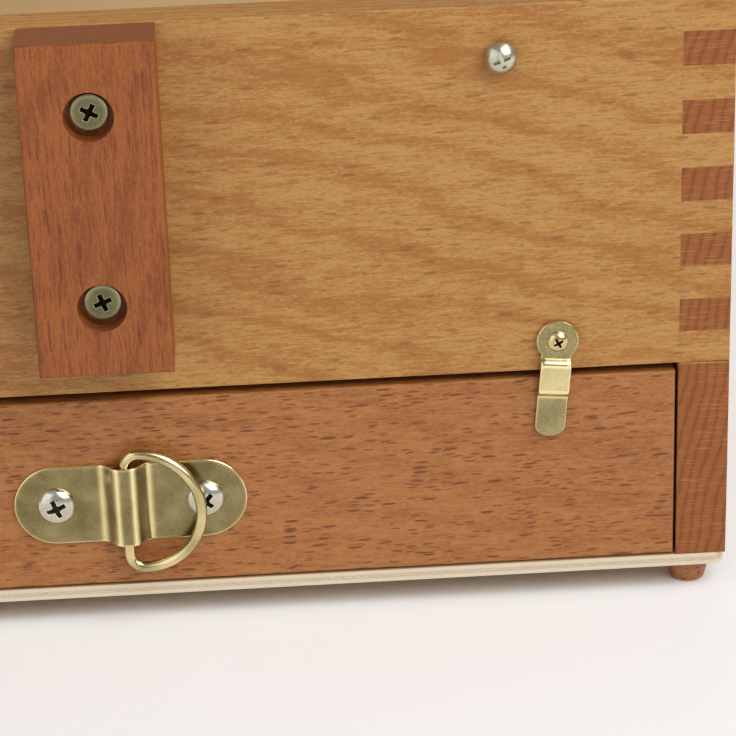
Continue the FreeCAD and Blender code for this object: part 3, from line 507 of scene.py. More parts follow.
def beech_effect():
    """Beech in three dimensions, on board coordinates: x along the grain, y through the
    board, z across its face.

    Growth bands are a sine of y + 0.2 z + 0.055 x with a slow warp, so a board's face shows
    wide drifting bands and its end shows close rings. Ray flecks are stretched cells, each
    with its own size and strength. Pores are fine stretched noise. The end grain has its own
    two colours, darker rings and pale lines through the board.
    """
    nodes, given = effect("Beech grain", {
        "Vector": (0, 0, 0), "End grain": 0.0,
        "Pale": (0.5, 0.3, 0.1, 1), "Dark": (0.4, 0.2, 0.05, 1),
        "Fleck": (0.2, 0.08, 0.02, 1), "End pale": (0.3, 0.1, 0.03, 1),
        "End dark": (0.15, 0.05, 0.02, 1), "Fleck amount": 0.8,
        "Fleck length": 6.5, "Band amount": 0.5, "Roughness": 0.42,
    })
    board = nodes.millimetres(given["Vector"])
    slow = nodes.noise(board, (0.016, 0.05, 0.05), 3.0)
    axes = nodes.add("ShaderNodeSeparateXYZ", {0: board}).outputs
    slanted = nodes.math("MULTIPLY_ADD", axes["Z"], 0.2, axes["Y"])
    slanted = nodes.math("MULTIPLY_ADD", axes["X"], 0.055, slanted)
    slanted = nodes.math("MULTIPLY_ADD", slow, 6.5, slanted)
    wave = nodes.math("SINE", nodes.math("MULTIPLY", slanted, 2.5))
    rings = nodes.math("POWER", nodes.math("MULTIPLY_ADD", wave, 0.5, 0.5), 2.6)
    silky = nodes.noise(board, (0.03, 0.45, 0.45), 3.0)
    broad = nodes.noise(board, (0.008, 0.02, 0.02), 2.0)
    pores = nodes.noise(board, (0.22, 2.0, 2.0), 3.0)
    fine = nodes.noise(board, (0.9, 3.0, 3.0), 2.0)

    wander = nodes.noise(board, (0.07, 0.2, 0.2), 2.0)
    drift = nodes.math("MULTIPLY_ADD", wander, 1.6, axes["Z"])
    drift = nodes.math("MULTIPLY_ADD", axes["X"], -0.03, drift)
    flow = nodes.add("ShaderNodeCombineXYZ", {"X": axes["X"], "Y": axes["Y"], "Z": drift})
    flecks = None
    for shorten, width, presence, strength in ((1.0, 1.3, 0.4, 1.0), (0.6, 0.85, 0.2, 0.8)):
        length = nodes.math("DIVIDE", 1.0, nodes.math("MULTIPLY", given["Fleck length"],
                                                      shorten))
        scale = nodes.add("ShaderNodeCombineXYZ", {"X": length, "Y": 1 / width,
                                                   "Z": 1 / width})
        cells = nodes.add("ShaderNodeTexVoronoi", {
            "Vector": nodes.vector("MULTIPLY", flow.outputs[0], scale.outputs[0]),
            "Scale": 1.0, "Randomness": 1.0})
        chance = nodes.add("ShaderNodeSeparateColor", {0: cells.outputs["Color"]}).outputs
        size = nodes.math("MULTIPLY_ADD", chance["Green"], 0.2, 0.14)
        inside = nodes.math("SUBTRACT", size, cells.outputs["Distance"])
        mark = nodes.ramp(inside, -0.02, 0.07)
        shown = nodes.ramp(chance["Red"], presence, presence + 0.25)
        mark = nodes.math("MULTIPLY", nodes.math("MULTIPLY", mark, shown), strength)
        flecks = mark if flecks is None else nodes.math("MAXIMUM", flecks, mark)
    across_face = nodes.math("SUBTRACT", 1.0, given["End grain"])
    flecks = nodes.math("MULTIPLY", flecks, across_face)

    share = nodes.math("MULTIPLY", rings, given["Band amount"])
    share = nodes.sway(silky, 0.9, share)
    share = nodes.sway(broad, 1.1, share)
    share = nodes.sway(pores, 2.6, share)
    share = nodes.sway(fine, 2.2, share)
    share = nodes.math("ADD", share, 0.25, clamp=True)
    face = nodes.mix(share, given["Pale"], given["Dark"])
    stained = nodes.math("MULTIPLY", flecks, given["Fleck amount"])
    face = nodes.mix(stained, face, given["Fleck"])

    ray = nodes.noise(board, (0.5, 0.16, 3.2), 3.0)
    speckle = nodes.noise(board, (1.5, 3.6, 3.6), 3.0)
    ring_share = nodes.sway(speckle, 1.3, nodes.math("MULTIPLY", rings, 0.75))
    end = nodes.mix(nodes.math("ADD", ring_share, 0.05, clamp=True), given["End pale"],
                    given["End dark"])
    lines = nodes.math("MULTIPLY", nodes.ramp(ray, 0.52, 0.72), 0.5)
    end = nodes.mix(lines, end, given["Pale"])
    colour = nodes.mix(given["End grain"], face, end)

    rough = nodes.sway(silky, 0.16, given["Roughness"])
    rough = nodes.math("MULTIPLY_ADD", flecks, 0.12, rough)
    rough = nodes.math("MULTIPLY_ADD", given["End grain"], 0.1, rough)
    height = nodes.math("MULTIPLY_ADD", flecks, -0.6, nodes.math("MULTIPLY", pores, 0.8))
    height = nodes.math("MULTIPLY_ADD", nodes.math("MULTIPLY", ray, given["End grain"]), 0.8,
                        height)
    return give_out(nodes, colour, rough, height)


def ply_effect():
    """Plywood: pale close-grained faces, and edges that show a darker core between two skins."""
    nodes, given = effect("Plywood", {
        "Vector": (0, 0, 0), "Edge": 0.0, "Thickness": 3.0,
        "Pale": (0.7, 0.5, 0.3, 1), "Dark": (0.5, 0.35, 0.2, 1),
        "Core": (0.5, 0.38, 0.24, 1), "Skin": (0.8, 0.7, 0.5, 1),
    })
    sheet = nodes.millimetres(given["Vector"])
    slow = nodes.noise(sheet, (0.01, 0.2, 0.02), 3.0)
    fine = nodes.noise(sheet, (0.25, 3.0, 3.0), 4.0)
    share = nodes.sway(slow, 1.8, 0.4)
    share = nodes.sway(fine, 0.8, share, clamp=True)
    face = nodes.mix(share, given["Pale"], given["Dark"])
    depth = nodes.add("ShaderNodeSeparateXYZ", {0: sheet}).outputs["Y"]
    depth = nodes.math("DIVIDE", depth, given["Thickness"])
    from_middle = nodes.math("ABSOLUTE", nodes.math("SUBTRACT", depth, 0.5))
    core = nodes.ramp(from_middle, 0.22, 0.15)
    crumbs = nodes.noise(sheet, (1.2, 5.0, 1.2), 3.0)
    core = nodes.math("MULTIPLY", core, nodes.ramp(crumbs, 0.2, 0.7))
    edge = nodes.mix(core, given["Skin"], given["Core"])
    colour = nodes.mix(given["Edge"], face, edge)
    rough = nodes.math("MULTIPLY_ADD", fine, 0.15, 0.45)
    height = nodes.math("MULTIPLY_ADD", crumbs, 0.6, fine)
    return give_out(nodes, colour, rough, height)


def metal_effect():
    """Plated metal: dull tumbled faces, bright where rubbed and where highlights are painted, and
    painted shade where the value is below 0.
    """
    nodes, given = effect("Rubbed metal with painted light", {
        "Vector": (0, 0, 0), "Wear and painted light": 0.0,
        "Dull": (0.4, 0.3, 0.1, 1), "Bright": (0.8, 0.7, 0.4, 1),
        "Roughness": 0.3,
    })
    metal = nodes.millimetres(given["Vector"])
    cloud = nodes.noise(metal, (0.16, 0.16, 0.16), 3.0)
    grit = nodes.noise(metal, (3.2, 3.2, 3.2), 3.0)
    share = nodes.sway(cloud, 0.5, given["Wear and painted light"])
    share = nodes.sway(grit, 0.55, share)
    share = nodes.math("ADD", share, 0.12, clamp=True)
    colour = nodes.mix(share, given["Dull"], given["Bright"])
    # painted shade: values below 0 turn the metal near black, as in the screws' recesses
    recess_shade = nodes.math("MULTIPLY", given["Wear and painted light"], -1.0, clamp=True)
    colour = nodes.mix(recess_shade, colour, (0.02, 0.015, 0.009, 1))
    rough = nodes.math("MULTIPLY_ADD", share, -0.12, given["Roughness"])
    rough = nodes.math("MULTIPLY_ADD", recess_shade, 0.4, rough)
    rough = nodes.sway(grit, 0.14, rough)
    return give_out(nodes, colour, rough, grit)


def leather_effect():
    """Smooth tanned leather: cells of fine grain, soft creases and darker hollows."""
    nodes, given = effect("Leather", {
        "Vector": (0, 0, 0), "Edge": 0.0,
        "Pale": (0.3, 0.1, 0.03, 1), "Dark": (0.1, 0.03, 0.01, 1),
    })
    hide = nodes.millimetres(given["Vector"])
    cells = nodes.add("ShaderNodeTexVoronoi", {"Vector": hide, "Scale": 1.1})
    pebble = nodes.ramp(cells.outputs["Distance"], 0.0, 0.75)
    creases = nodes.noise(hide, (0.5, 0.12, 0.5), 4.0)
    cloud = nodes.noise(hide, (0.06, 0.06, 0.06), 3.0)
    share = nodes.sway(cloud, 0.9, nodes.math("MULTIPLY", pebble, 0.35))
    share = nodes.math("MULTIPLY_ADD", given["Edge"], 0.7, share, clamp=True)
    colour = nodes.mix(share, given["Pale"], given["Dark"])
    rough = nodes.math("MULTIPLY_ADD", pebble, 0.14, 0.4)
    height = nodes.math("MULTIPLY_ADD", pebble, -0.5, creases)
    return give_out(nodes, colour, rough, height)


EFFECTS = {}


def shared(maker):
    """A node group, made the first time that it is asked for."""
    if maker not in EFFECTS:
        EFFECTS[maker] = maker()
    return EFFECTS[maker]


def finish_with(name, maker, bump_strength, bump_depth, metallic=0.0, coat=0.0,
                coat_rough=0.25):
    """A material whose colour, roughness and bump come from a shared effect.

    Returns it with its nodes and the effect's node, whose inputs are still to be filled.
    """
    material = bpy.data.materials.new(name)
    material.use_nodes = True
    nodes = Nodes(material.node_tree)
    group = nodes.add("ShaderNodeGroup", node_tree=shared(maker))
    bump = nodes.add("ShaderNodeBump", {"Strength": bump_strength, "Distance": bump_depth * MM,
                                        "Height": group.outputs["Height"]})
    nodes.fill(nodes.tree.nodes["Principled BSDF"], {
        "Base Color": group.outputs["Color"], "Roughness": group.outputs["Roughness"],
        "Normal": bump.outputs["Normal"], "Metallic": metallic, "Coat Weight": coat,
        "Coat Roughness": coat_rough, "Specular IOR Level": 0.5 if metallic else 0.35})
    return material, nodes, group


def board_place(nodes, grain, through, shift):
    """Object coordinates turned so that x runs along the grain and y through the board."""
    turn = Matrix((grain, through, grain.cross(through))).to_euler()
    place = nodes.add("ShaderNodeTexCoord").outputs
    turned_to = nodes.add("ShaderNodeMapping", {
        "Vector": place["Object"], "Rotation": tuple(turn),
        "Location": tuple(part * MM for part in shift)})
    return turned_to.outputs["Vector"], place["Normal"]


def facing(nodes, normal, way):
    """1 where a face looks along a direction or against it, 0 where it lies along it."""
    return nodes.math("ABSOLUTE", nodes.vector("DOT_PRODUCT", normal, tuple(way)))


def four(colour):
    """A colour with full opacity."""
    return (*colour, 1.0)


def titled(node):
    """A CAD node's name as a material's."""
    return node.replace("_", " ").capitalize()


def beech(name, stock, grain, through, shift=(0, 0, 0), fleck_length=5.8):
    """Beech board of one stock with its grain along one direction."""
    material, nodes, group = finish_with(name, beech_effect, 0.35, 0.06, coat=stock.gloss,
                                         coat_rough=0.28)
    vector, normal = board_place(nodes, grain, through, shift)
    nodes.fill(group, {
        "Vector": vector, "End grain": nodes.ramp(facing(nodes, normal, grain), 0.7, 0.85),
        "Pale": four(stock.pale), "Dark": four(stock.dark), "Fleck": four(stock.fleck),
        "End pale": four(stock.end_pale), "End dark": four(stock.end_dark),
        "Fleck amount": stock.flecks, "Fleck length": fleck_length,
        "Band amount": stock.bands, "Roughness": stock.roughness})
    return material


def plywood(node, stock, grain, through):
    """Plywood sheet whose layers are counted from the CAD sheet's own lower face."""
    mesh = frame["nodes"][node].data
    spots = np.empty(len(mesh.vertices) * 3)
    mesh.vertices.foreach_get("co", spots)
    depth = spots.reshape(-1, 3) @ np.array(through)
    material, nodes, group = finish_with(titled(node), ply_effect, 0.25, 0.05, coat=0.05,
                                         coat_rough=0.35)
    vector, normal = board_place(nodes, grain, through, (0, -depth.min() / MM, 0))
    nodes.fill(group, {
        "Vector": vector, "Edge": nodes.ramp(facing(nodes, normal, through), 0.6, 0.4),
        "Thickness": np.ptp(depth) / MM, "Pale": four(stock.pale), "Dark": four(stock.dark),
        "Core": four(stock.core), "Skin": four(stock.skin)})
    return material


def place_wear_and_painted_light(nodes):
    """A piece's own coordinates and its attribute of wear and painted light."""
    return (nodes.add("ShaderNodeTexCoord").outputs["Object"],
            nodes.add("ShaderNodeAttribute", attribute_name="wear_and_painted_light").outputs["Fac"])


def metal(name, stock):
    """Plated metal that brightens with a piece's wear and painted highlights, and darkens with its
    painted shade.
    """
    material, nodes, group = finish_with(name, metal_effect, 0.12, 0.03, metallic=1.0)
    vector, wear_and_painted_light = place_wear_and_painted_light(nodes)
    nodes.fill(group, {"Vector": vector, "Wear and painted light": wear_and_painted_light, "Dull": four(stock.dull),
                       "Bright": four(stock.bright), "Roughness": stock.roughness})
    return material


def leather(name, pale, dark):
    """Tanned leather, darker along the edges that the piece's attribute marks."""
    material, nodes, group = finish_with(name, leather_effect, 0.5, 0.12, coat=0.1,
                                         coat_rough=0.4)
    vector, wear_and_painted_light = place_wear_and_painted_light(nodes)
    nodes.fill(group, {"Vector": vector, "Edge": wear_and_painted_light, "Pale": four(pale), "Dark": four(dark)})
    return material


# ---- Settings -------------------------------------------------------------------------------
def colour_setting(name, description, default):
    return FloatVectorProperty(name=name, description=description, subtype="COLOR", size=3,
                               min=0.0, max=1.0, default=default)


def share_setting(name, description, default):
    return FloatProperty(name=name, description=description, default=default, min=0.0, max=1.0,
                         subtype="FACTOR")


def length_setting(name, description, default):
    return FloatProperty(name=name, description=description + ", millimetres",
                         default=default, min=0.0)


def light_setting(name, description, default):
    return FloatProperty(name=name, description=description, default=default, min=0.0)


def angle_setting(name, description, degrees):
    return FloatProperty(name=name, description=description, subtype="ANGLE",
                         default=math.radians(degrees))


def group_setting(kind, name, description):
    return PointerProperty(type=kind, name=name, description=description)


class BeechStock(bpy.types.PropertyGroup):
    """Colours and finish of one stock of beech"""
    pale: colour_setting("Pale", "Early wood on the face", (0.43, 0.225, 0.060))
    dark: colour_setting("Dark", "Late wood on the face", (0.32, 0.122, 0.021))
    fleck: colour_setting("Fleck", "Ray flecks", (0.170, 0.055, 0.008))
    end_pale: colour_setting("End pale", "Early wood on the end grain", (0.275, 0.078, 0.012))
    end_dark: colour_setting("End dark", "Late wood on the end grain", (0.165, 0.041, 0.007))
    flecks: share_setting("Flecks", "Strength of the ray flecks", 0.45)
    bands: share_setting("Bands", "Strength of the growth bands", 0.55)
    gloss: share_setting("Gloss", "Weight of the clear varnish", 0.1)
    roughness: share_setting("Roughness", "Roughness of the bare wood", 0.45)


class PlyStock(bpy.types.PropertyGroup):
    """Colours of the plywood"""
    pale: colour_setting("Pale", "Light veneer", (0.58, 0.40, 0.21))
    dark: colour_setting("Dark", "Dark veneer", (0.44, 0.27, 0.12))
    core: colour_setting("Core", "Core layer at an edge", (0.50, 0.38, 0.25))
    skin: colour_setting("Skin", "Outer layers at an edge", (0.64, 0.55, 0.41))


class MetalStock(bpy.types.PropertyGroup):
    """Colours and roughness of one plated metal"""
    # The dull default, the brass's, is darkened past the metal's own colour as a painted
    # reflection of a dark room; bright also serves for painted highlights.
    dull: colour_setting("Dull", "Tumbled faces", (0.17, 0.135, 0.052))
    bright: colour_setting("Bright", "Rubbed edges", (0.95, 0.80, 0.42))
    roughness: share_setting("Roughness", "Roughness of the tumbled faces", 0.27)


class FittingSizes(bpy.types.PropertyGroup):
    """Sizes of the fittings that the CAD frame leaves plain"""
    arris: length_setting("Arris", "Rounding of the boards' edges", 0.45)
    plate_rise: length_setting("Saddle rise", "Height of the ring plate's saddle", 3.5)
    plate_screw: length_setting("Plate screw", "Radius of the ring plate's screws", 4.6)
    latch_screw: length_setting("Latch screw", "Radius of the latch screws' heads", 2.5)
    strut_screw: length_setting("Strut screw", "Radius of the strut screws' heads", 4.2)
    wire: length_setting("Ring wire", "Radius of the ring's wire", 1.3)
    strap_thick: length_setting("Strap", "Thickness of the leather strap", 4.6)
    stitch: length_setting("Stitch", "Length of one stitch", 3.4)


class StageSettings(bpy.types.PropertyGroup):
    """Camera, floor and light"""
    camera: FloatVectorProperty(name="Camera", description="Place of the camera, millimetres",
                                size=3, default=(32.5, -570.6, 297.1))
    pitch: angle_setting("Pitch", "Camera turned down", 22.42)
    roll: angle_setting("Roll", "Camera rolled", 2.2)
    yaw: angle_setting("Yaw", "Camera turned aside", -1.98)
    lens: FloatProperty(name="Lens", description="Focal length", default=130.5, min=10.0,
                        unit="CAMERA")
    shift: FloatVectorProperty(name="Shift", description="Camera shifted off its axis", size=2,
                               default=(0.0483, -0.0285))
    floor: colour_setting("Floor", "Colour of the floor", (0.97, 0.97, 0.975))
    sky: light_setting("Room light", "Strength of the even room light", 0.34)
    backdrop: light_setting("Backdrop", "Strength of the room as the camera sees it", 0.55)
    key: light_setting("Key light", "Power of the large light, watts", 62.0)
    fill: light_setting("Fill light", "Power of the side and back lights, watts", 17.0)


class EaselSettings(bpy.types.PropertyGroup):
    """Everything that can be changed on the easel"""
    golden: group_setting(BeechStock, "Golden beech", "Box and lid boards")
    red: group_setting(BeechStock, "Red beech", "Strut and mast")
    drawer: group_setting(BeechStock, "Drawer beech", "Drawer front")
    plain: group_setting(BeechStock, "Plain beech", "Inner parts")
    ply: group_setting(PlyStock, "Plywood", "Sheets")
    brass: group_setting(MetalStock, "Brass", "Ring plate, ring, latches, hinges and stays")
    steel: group_setting(MetalStock, "Plated steel", "Pan head screws and studs")
    zinc: group_setting(MetalStock, "Yellow zinc", "Strut screws")
    sizes: group_setting(FittingSizes, "Sizes", "Fitting sizes")
    stage: group_setting(StageSettings, "Stage", "Camera, floor and light")


STOCKS = {
    "red": {"pale": (0.295, 0.084, 0.012), "dark": (0.195, 0.043, 0.005),
            "fleck": (0.110, 0.018, 0.003), "end_pale": (0.21, 0.058, 0.010),
            "end_dark": (0.13, 0.030, 0.005), "flecks": 0.6, "bands": 0.4},
    "drawer": {"pale": (0.385, 0.155, 0.043), "dark": (0.275, 0.090, 0.020),
               "fleck": (0.150, 0.038, 0.009), "flecks": 0.95, "bands": 0.3},
    "plain": {"pale": (0.52, 0.33, 0.16), "dark": (0.42, 0.24, 0.10),
              "fleck": (0.25, 0.12, 0.05), "flecks": 0.4, "bands": 0.3, "gloss": 0.03,
              "roughness": 0.55},
    "steel": {"dull": (0.52, 0.49, 0.37), "bright": (0.92, 0.90, 0.82)},
    # Yellow zinc's colours are darkened as painted shade of the strut's counterbores.
    "zinc": {"dull": (0.10, 0.09, 0.035), "bright": (0.45, 0.42, 0.24), "roughness": 0.34},
}


def easel():
    return bpy.context.scene.easel_settings


def brass():
    return bpy.data.materials.get("Brass") or metal("Brass", easel().brass)


def plated_steel():
    return bpy.data.materials.get("Plated steel") or metal("Plated steel", easel().steel)


def paint_nodes(finish, *nodes):
    """Gives carried-over CAD nodes a material."""
    for node in nodes:
        for mesh_slot in frame["nodes"][node].material_slots:
            mesh_slot.material = finish


def boards(stock, ease, rows, chosen=None):
    """Eased CAD boards of one stock, from rows of node, body, grain, through and shift."""
    for node, body, grain, through, shift in rows:
        wood = beech(titled(node), stock, grain, through, shift)
        eased_copy(node, ease, body, wood, chosen)


# ---- Operators ------------------------------------------------------------------------------
class EASEL_OT_box_boards(bpy.types.Operator):
    """Finish the box's boards, with the outer arrises taken off"""
    bl_idname = "easel.box_boards"
    bl_label = "Box boards"

    def execute(self, context):
        half, deep = span("box_bottom")[1][:2]
        panel_low, panel_high = span("box_front_panel")
        opening, rim = panel_low[2], panel_high[2]

        def outer(first, second):
            """Edges that lie on the box's four outer corners, its rim or the drawer opening."""
            def on(axis, value):
                return (np.abs(first[:, axis] - value) < 0.02) & (
                    np.abs(second[:, axis] - value) < 0.02)
            sides = on(0, half) | on(0, -half)
            faces = on(1, 0.0) | on(1, deep)
            return (sides & faces) | ((sides | faces) & on(2, rim)) | (
                on(1, 0.0) & on(2, opening))

        boards(easel().golden, easel().sizes.arris, (
            ("box_front_panel", "box", X, Y, (0, 0, 3)),
            ("box_back_panel", "box", X, Y, (40, 0, 30)),
            ("box_right_side", "box", Y, X, (0, 0, 11)),
            ("box_left_side", "box", Y, X, (90, 0, 55))), outer)
        return {"FINISHED"}


class EASEL_OT_strut(bpy.types.Operator):
    """Finish the strut on the front panel and its two counterbored screws"""
    bl_idname = "easel.strut"
    bl_label = "Front strut"

    def execute(self, context):
        paint_nodes(beech("Front strut", easel().red, Z, Y, (0, 0, 5), fleck_length=14.0),
                    "front_strut")
        radius = easel().sizes.strut_screw
        low, high = span("front_strut_screws")
        middle = (low[0] + high[0]) / 2
        screws("strut_screw_heads", (((middle, low[1], low[2] + radius), 20.0),
                                     ((middle, low[1], high[2] - radius), 62.0)),
               radius, 0.0, "box", metal("Yellow zinc", easel().zinc),
               ["front_strut_screws"], flat=True)
        return {"FINISHED"}


class EASEL_OT_sheets(bpy.types.Operator):
    """Finish the plywood sheets"""
    bl_idname = "easel.sheets"
    bl_label = "Plywood sheets"

    def execute(self, context):
        for node, body, through in (
                ("box_bottom", "box", Z), ("inner_floor", "box", Z),
                ("drawer_bottom", "drawer", Z), ("palette", "palette", Z),
                ("lid_panel", "lid", LID_Z)):
            eased_copy(node, 0.3, body, plywood(node, easel().ply, X, through))
        return {"FINISHED"}


class EASEL_OT_feet(bpy.types.Operator):
    """Turn the four feet and the four carry feet"""
    bl_idname = "easel.feet"
    bl_label = "Feet"

    def execute(self, context):
        low, high = span("box_feet")
        top, sole, ease, tall = 5.8, 4.0, 0.9, -low[2]
        turn = np.linspace(0, np.pi / 2, 7)
        side = np.stack([np.linspace(top, sole + 0.25, 8), np.linspace(0, 1 - tall, 8)], 1)
        toe = np.stack([sole - ease + 0.2 + ease * np.cos(turn),
                        ease - tall - ease * np.sin(turn)], 1)
        foot = turned(np.concatenate([[[0, 0.0]], side, toe, [[0, -tall]]]), 48)
        new_piece("turned_feet", [
            (placed(foot, (x, y, 0), UP, (0, 1, 0)), 0.0, False, True)
            for x in (low[0] + top, high[0] - top) for y in (low[1] + top, high[1] - top)],
            "box",
            beech("Turned feet", easel().drawer, X, Z, (30, 0, 0), fleck_length=4.0),
            ["box_feet"])

        low, high = span("carry_feet")
        radius, rise = 8.0, high[0] - low[0]
        arc = np.linspace(0, np.pi / 2, 12)
        rounded = np.stack([radius * np.sin(arc), rise * np.cos(arc)], 1)
        dome = turned(np.concatenate([rounded, [[0, 0.0]]]), 40)
        new_piece("carry_feet_domes", [
            (placed(dome, (high[0], y, z), (-1, 0, 0), UP), 0.0, False, True)
            for y in (low[1] + radius, high[1] - radius)
            for z in (low[2] + radius, high[2] - radius)],
            "box",
            beech("Carry feet", easel().plain, Y, X, (10, 0, 0), fleck_length=4.0),
            ["carry_feet"])
        return {"FINISHED"}


class EASEL_OT_insides(bpy.types.Operator):
    """Finish the dividers, palette rails and the drawer's inner boards"""
    bl_idname = "easel.insides"
    bl_label = "Inside"

    def execute(self, context):
        shift = (7, 0, 9)
        boards(easel().plain, 0.4, (
            ("compartment_dividers", "box", X, Y, shift), ("palette_rails", "box", Y, X, shift),
            ("drawer_sides", "drawer", Y, X, shift), ("drawer_back", "drawer", X, Y, shift),
            ("drawer_dividers", "drawer", X, Y, shift)))
        return {"FINISHED"}


class EASEL_OT_drawer_front(bpy.types.Operator):
    """Finish the drawer's front board"""
    bl_idname = "easel.drawer_front"
    bl_label = "Drawer front"

    def execute(self, context):
        paint_nodes(beech("Drawer front", easel().drawer, X, Y, (60, 2, 40), fleck_length=8.0),
                    "drawer_front")
        return {"FINISHED"}


class EASEL_OT_ring_plate(bpy.types.Operator):
    """Press the ring plate with its saddle, and drive its two screws"""
    bl_idname = "easel.ring_plate"
    bl_label = "Ring plate"

    def execute(self, context):
        sizes = easel().sizes
        low, high = span("ring_plate")
        end, middle = (high[2] - low[2]) / 2, (high + low) / 2
        rod_x = span("drawer_ring")[0][0] + sizes.wire
        grid, wear_and_painted_light = pressed_plate((high[0] - low[0]) / 2 - end, end, rod_x - middle[0],
                                   sizes.plate_rise)
        plate = placed(grid, (middle[0], 0.0, middle[2]), FRONT, UP)
        new_piece("ring_plate_pressed", [(plate, wear_and_painted_light, True, False)],
                  "drawer", brass(), ["ring_plate"], 55.0)
        low, high = span("ring_plate_screws")
        radius, face, dome = sizes.plate_screw, -1.0, 2.2
        screws("ring_plate_screw_heads", (((low[0] + radius, face, middle[2]), 22.0),
                                          ((high[0] - radius, face, middle[2]), 48.0)),
               radius, dome, "drawer", plated_steel(), ["ring_plate_screws"])
        return {"FINISHED"}


class EASEL_OT_drawer_ring(bpy.types.Operator):
    """Bend the drawer's D ring from wire"""
    bl_idname = "easel.drawer_ring"
    bl_label = "Drawer ring"

    def execute(self, context):
        wire, lean, corner = easel().sizes.wire, math.radians(6.0), 3.6
        low, high = span("drawer_ring")
        rod = np.array([low[0] + wire, high[1] - wire, (low[2] + high[2]) / 2])
        out, up = d_ring_path((high[2] - low[2]) / 2 - wire,
                              (high[0] - low[0] - 2 * wire) / math.cos(lean), corner)
        path = rod + np.stack([out * math.cos(lean), -out * math.sin(lean), up], axis=-1)
        across = np.array([math.sin(lean), math.cos(lean), 0.0])
        # painted glints: bright bands spaced along the ring's wire
        shine = 0.25 + 0.35 * np.cos(np.linspace(0, 6 * np.pi, len(path)))[:, None] ** 2
        new_piece("drawer_ring_wire", [(metres(loop_tube(path, across, wire, 20)), shine,
                                        True, True)],
                  "drawer_ring", brass(), ["drawer_ring"])
        return {"FINISHED"}


class EASEL_OT_latches(bpy.types.Operator):
    """Stamp the two drawer latches and their screws"""
    bl_idname = "easel.latches"
    bl_label = "Drawer latches"

    def execute(self, context):
        grid, wear_and_painted_light = latch_surface(disc=5.0, neck=3.65, length=24.0, thick=0.9, step=1.2)
        spots, face, dome = [], -1.25, 1.35
        for name, lean_degrees, screw_turn in (("right", 5.0, 28.0), ("left", -5.0, 70.0)):
            lean = math.radians(lean_degrees)
            turn_x = grid[..., 0] * math.cos(lean) + grid[..., 1] * math.sin(lean)
            turn_z = grid[..., 1] * math.cos(lean) - grid[..., 0] * math.sin(lean)
            local = np.stack([turn_x, turn_z, grid[..., 2]], axis=-1)
            centre = pivot(f"drawer_latch_{name}_turn")
            latch = placed(local, (centre[0], 0.0, centre[2]), FRONT, UP)
            new_piece(f"drawer_latch_{name}_stamped", [(latch, wear_and_painted_light, False, True)],
                      f"drawer_latch_{name}", brass(), [f"drawer_latch_{name}"], 50.0)
            spots.append(((centre[0], face, centre[2]), screw_turn))
        screws("latch_screw_heads", spots, easel().sizes.latch_screw, dome, "box",
               brass(), ["latch_screws"], shine=0.45)
        return {"FINISHED"}


class EASEL_OT_lid_boards(bpy.types.Operator):
    """Finish the lid's rails and the mast's guides"""
    bl_idname = "easel.lid_boards"
    bl_label = "Lid boards"

    def execute(self, context):
        golden = easel().golden
        for node, grain, through, shift in (
                ("lid_right_rail", LID_Y, X, (0, 0, 31)), ("lid_left_rail", LID_Y, X, (50, 0, 7)),
                ("lid_front_rail", X, LID_Y, (20, 0, 77)), ("lid_back_rail", X, LID_Y, (9, 0, 5))):
            paint_nodes(beech(titled(node), golden, grain, through, shift), node)
        boards(golden, 0.4, (("mast_guides", "lid", X, LID_Z, (33, 0, 0)),))
        return {"FINISHED"}


class EASEL_OT_mast(bpy.types.Operator):
    """Finish the mast, its clamp and the canvas ledge"""
    bl_idname = "easel.mast"
    bl_label = "Mast and ledge"

    def execute(self, context):
        boards(easel().red, 0.6, (
            ("mast", "mast", LID_Y, LID_Z, (0, 0, 14)),
            ("top_clamp", "top_clamp", X, LID_Z, (3, 0, 40)),
            ("canvas_ledge", "canvas_ledge", X, LID_Y, (70, 0, 3))))
        eased_copy("top_clamp_strap", 0.3, "top_clamp", brass())
        return {"FINISHED"}


class EASEL_OT_hinges(bpy.types.Operator):
    """Finish the hinges, stays, hooks and their screws"""
    bl_idname = "easel.hinges"
    bl_label = "Hinges, stays and hooks"

    def execute(self, context):
        for node, body in (("box_hinge_leaves", "box"), ("lid_hinge_leaves", "lid"),
                           ("lid_stay_right", "lid_stay_right"),
                           ("lid_stay_left", "lid_stay_left"),
                           ("lid_hook_right", "lid_hook_right"),
                           ("lid_hook_left", "lid_hook_left"), ("handle_brackets", "box")):
            eased_copy(node, 0.18, body, brass())
        paint_nodes(brass(), "lid_hinge_pins", "stay_studs", "ledge_pins")
        paint_nodes(plated_steel(), "box_hinge_screws", "lid_hinge_screws", "hook_studs",
                    "hook_screws", "lid_stay_screws", "handle_screws")
        return {"FINISHED"}


class EASEL_OT_wing_nuts(bpy.types.Operator):
    """Plate the stays' wing nuts and the mast's thumb screw"""
    bl_idname = "easel.wing_nuts"
    bl_label = "Wing nuts"

    def execute(self, context):
        paint_nodes(brass(), "stay_wing_nut_right", "stay_wing_nut_left", "mast_thumb_screw")
        return {"FINISHED"}


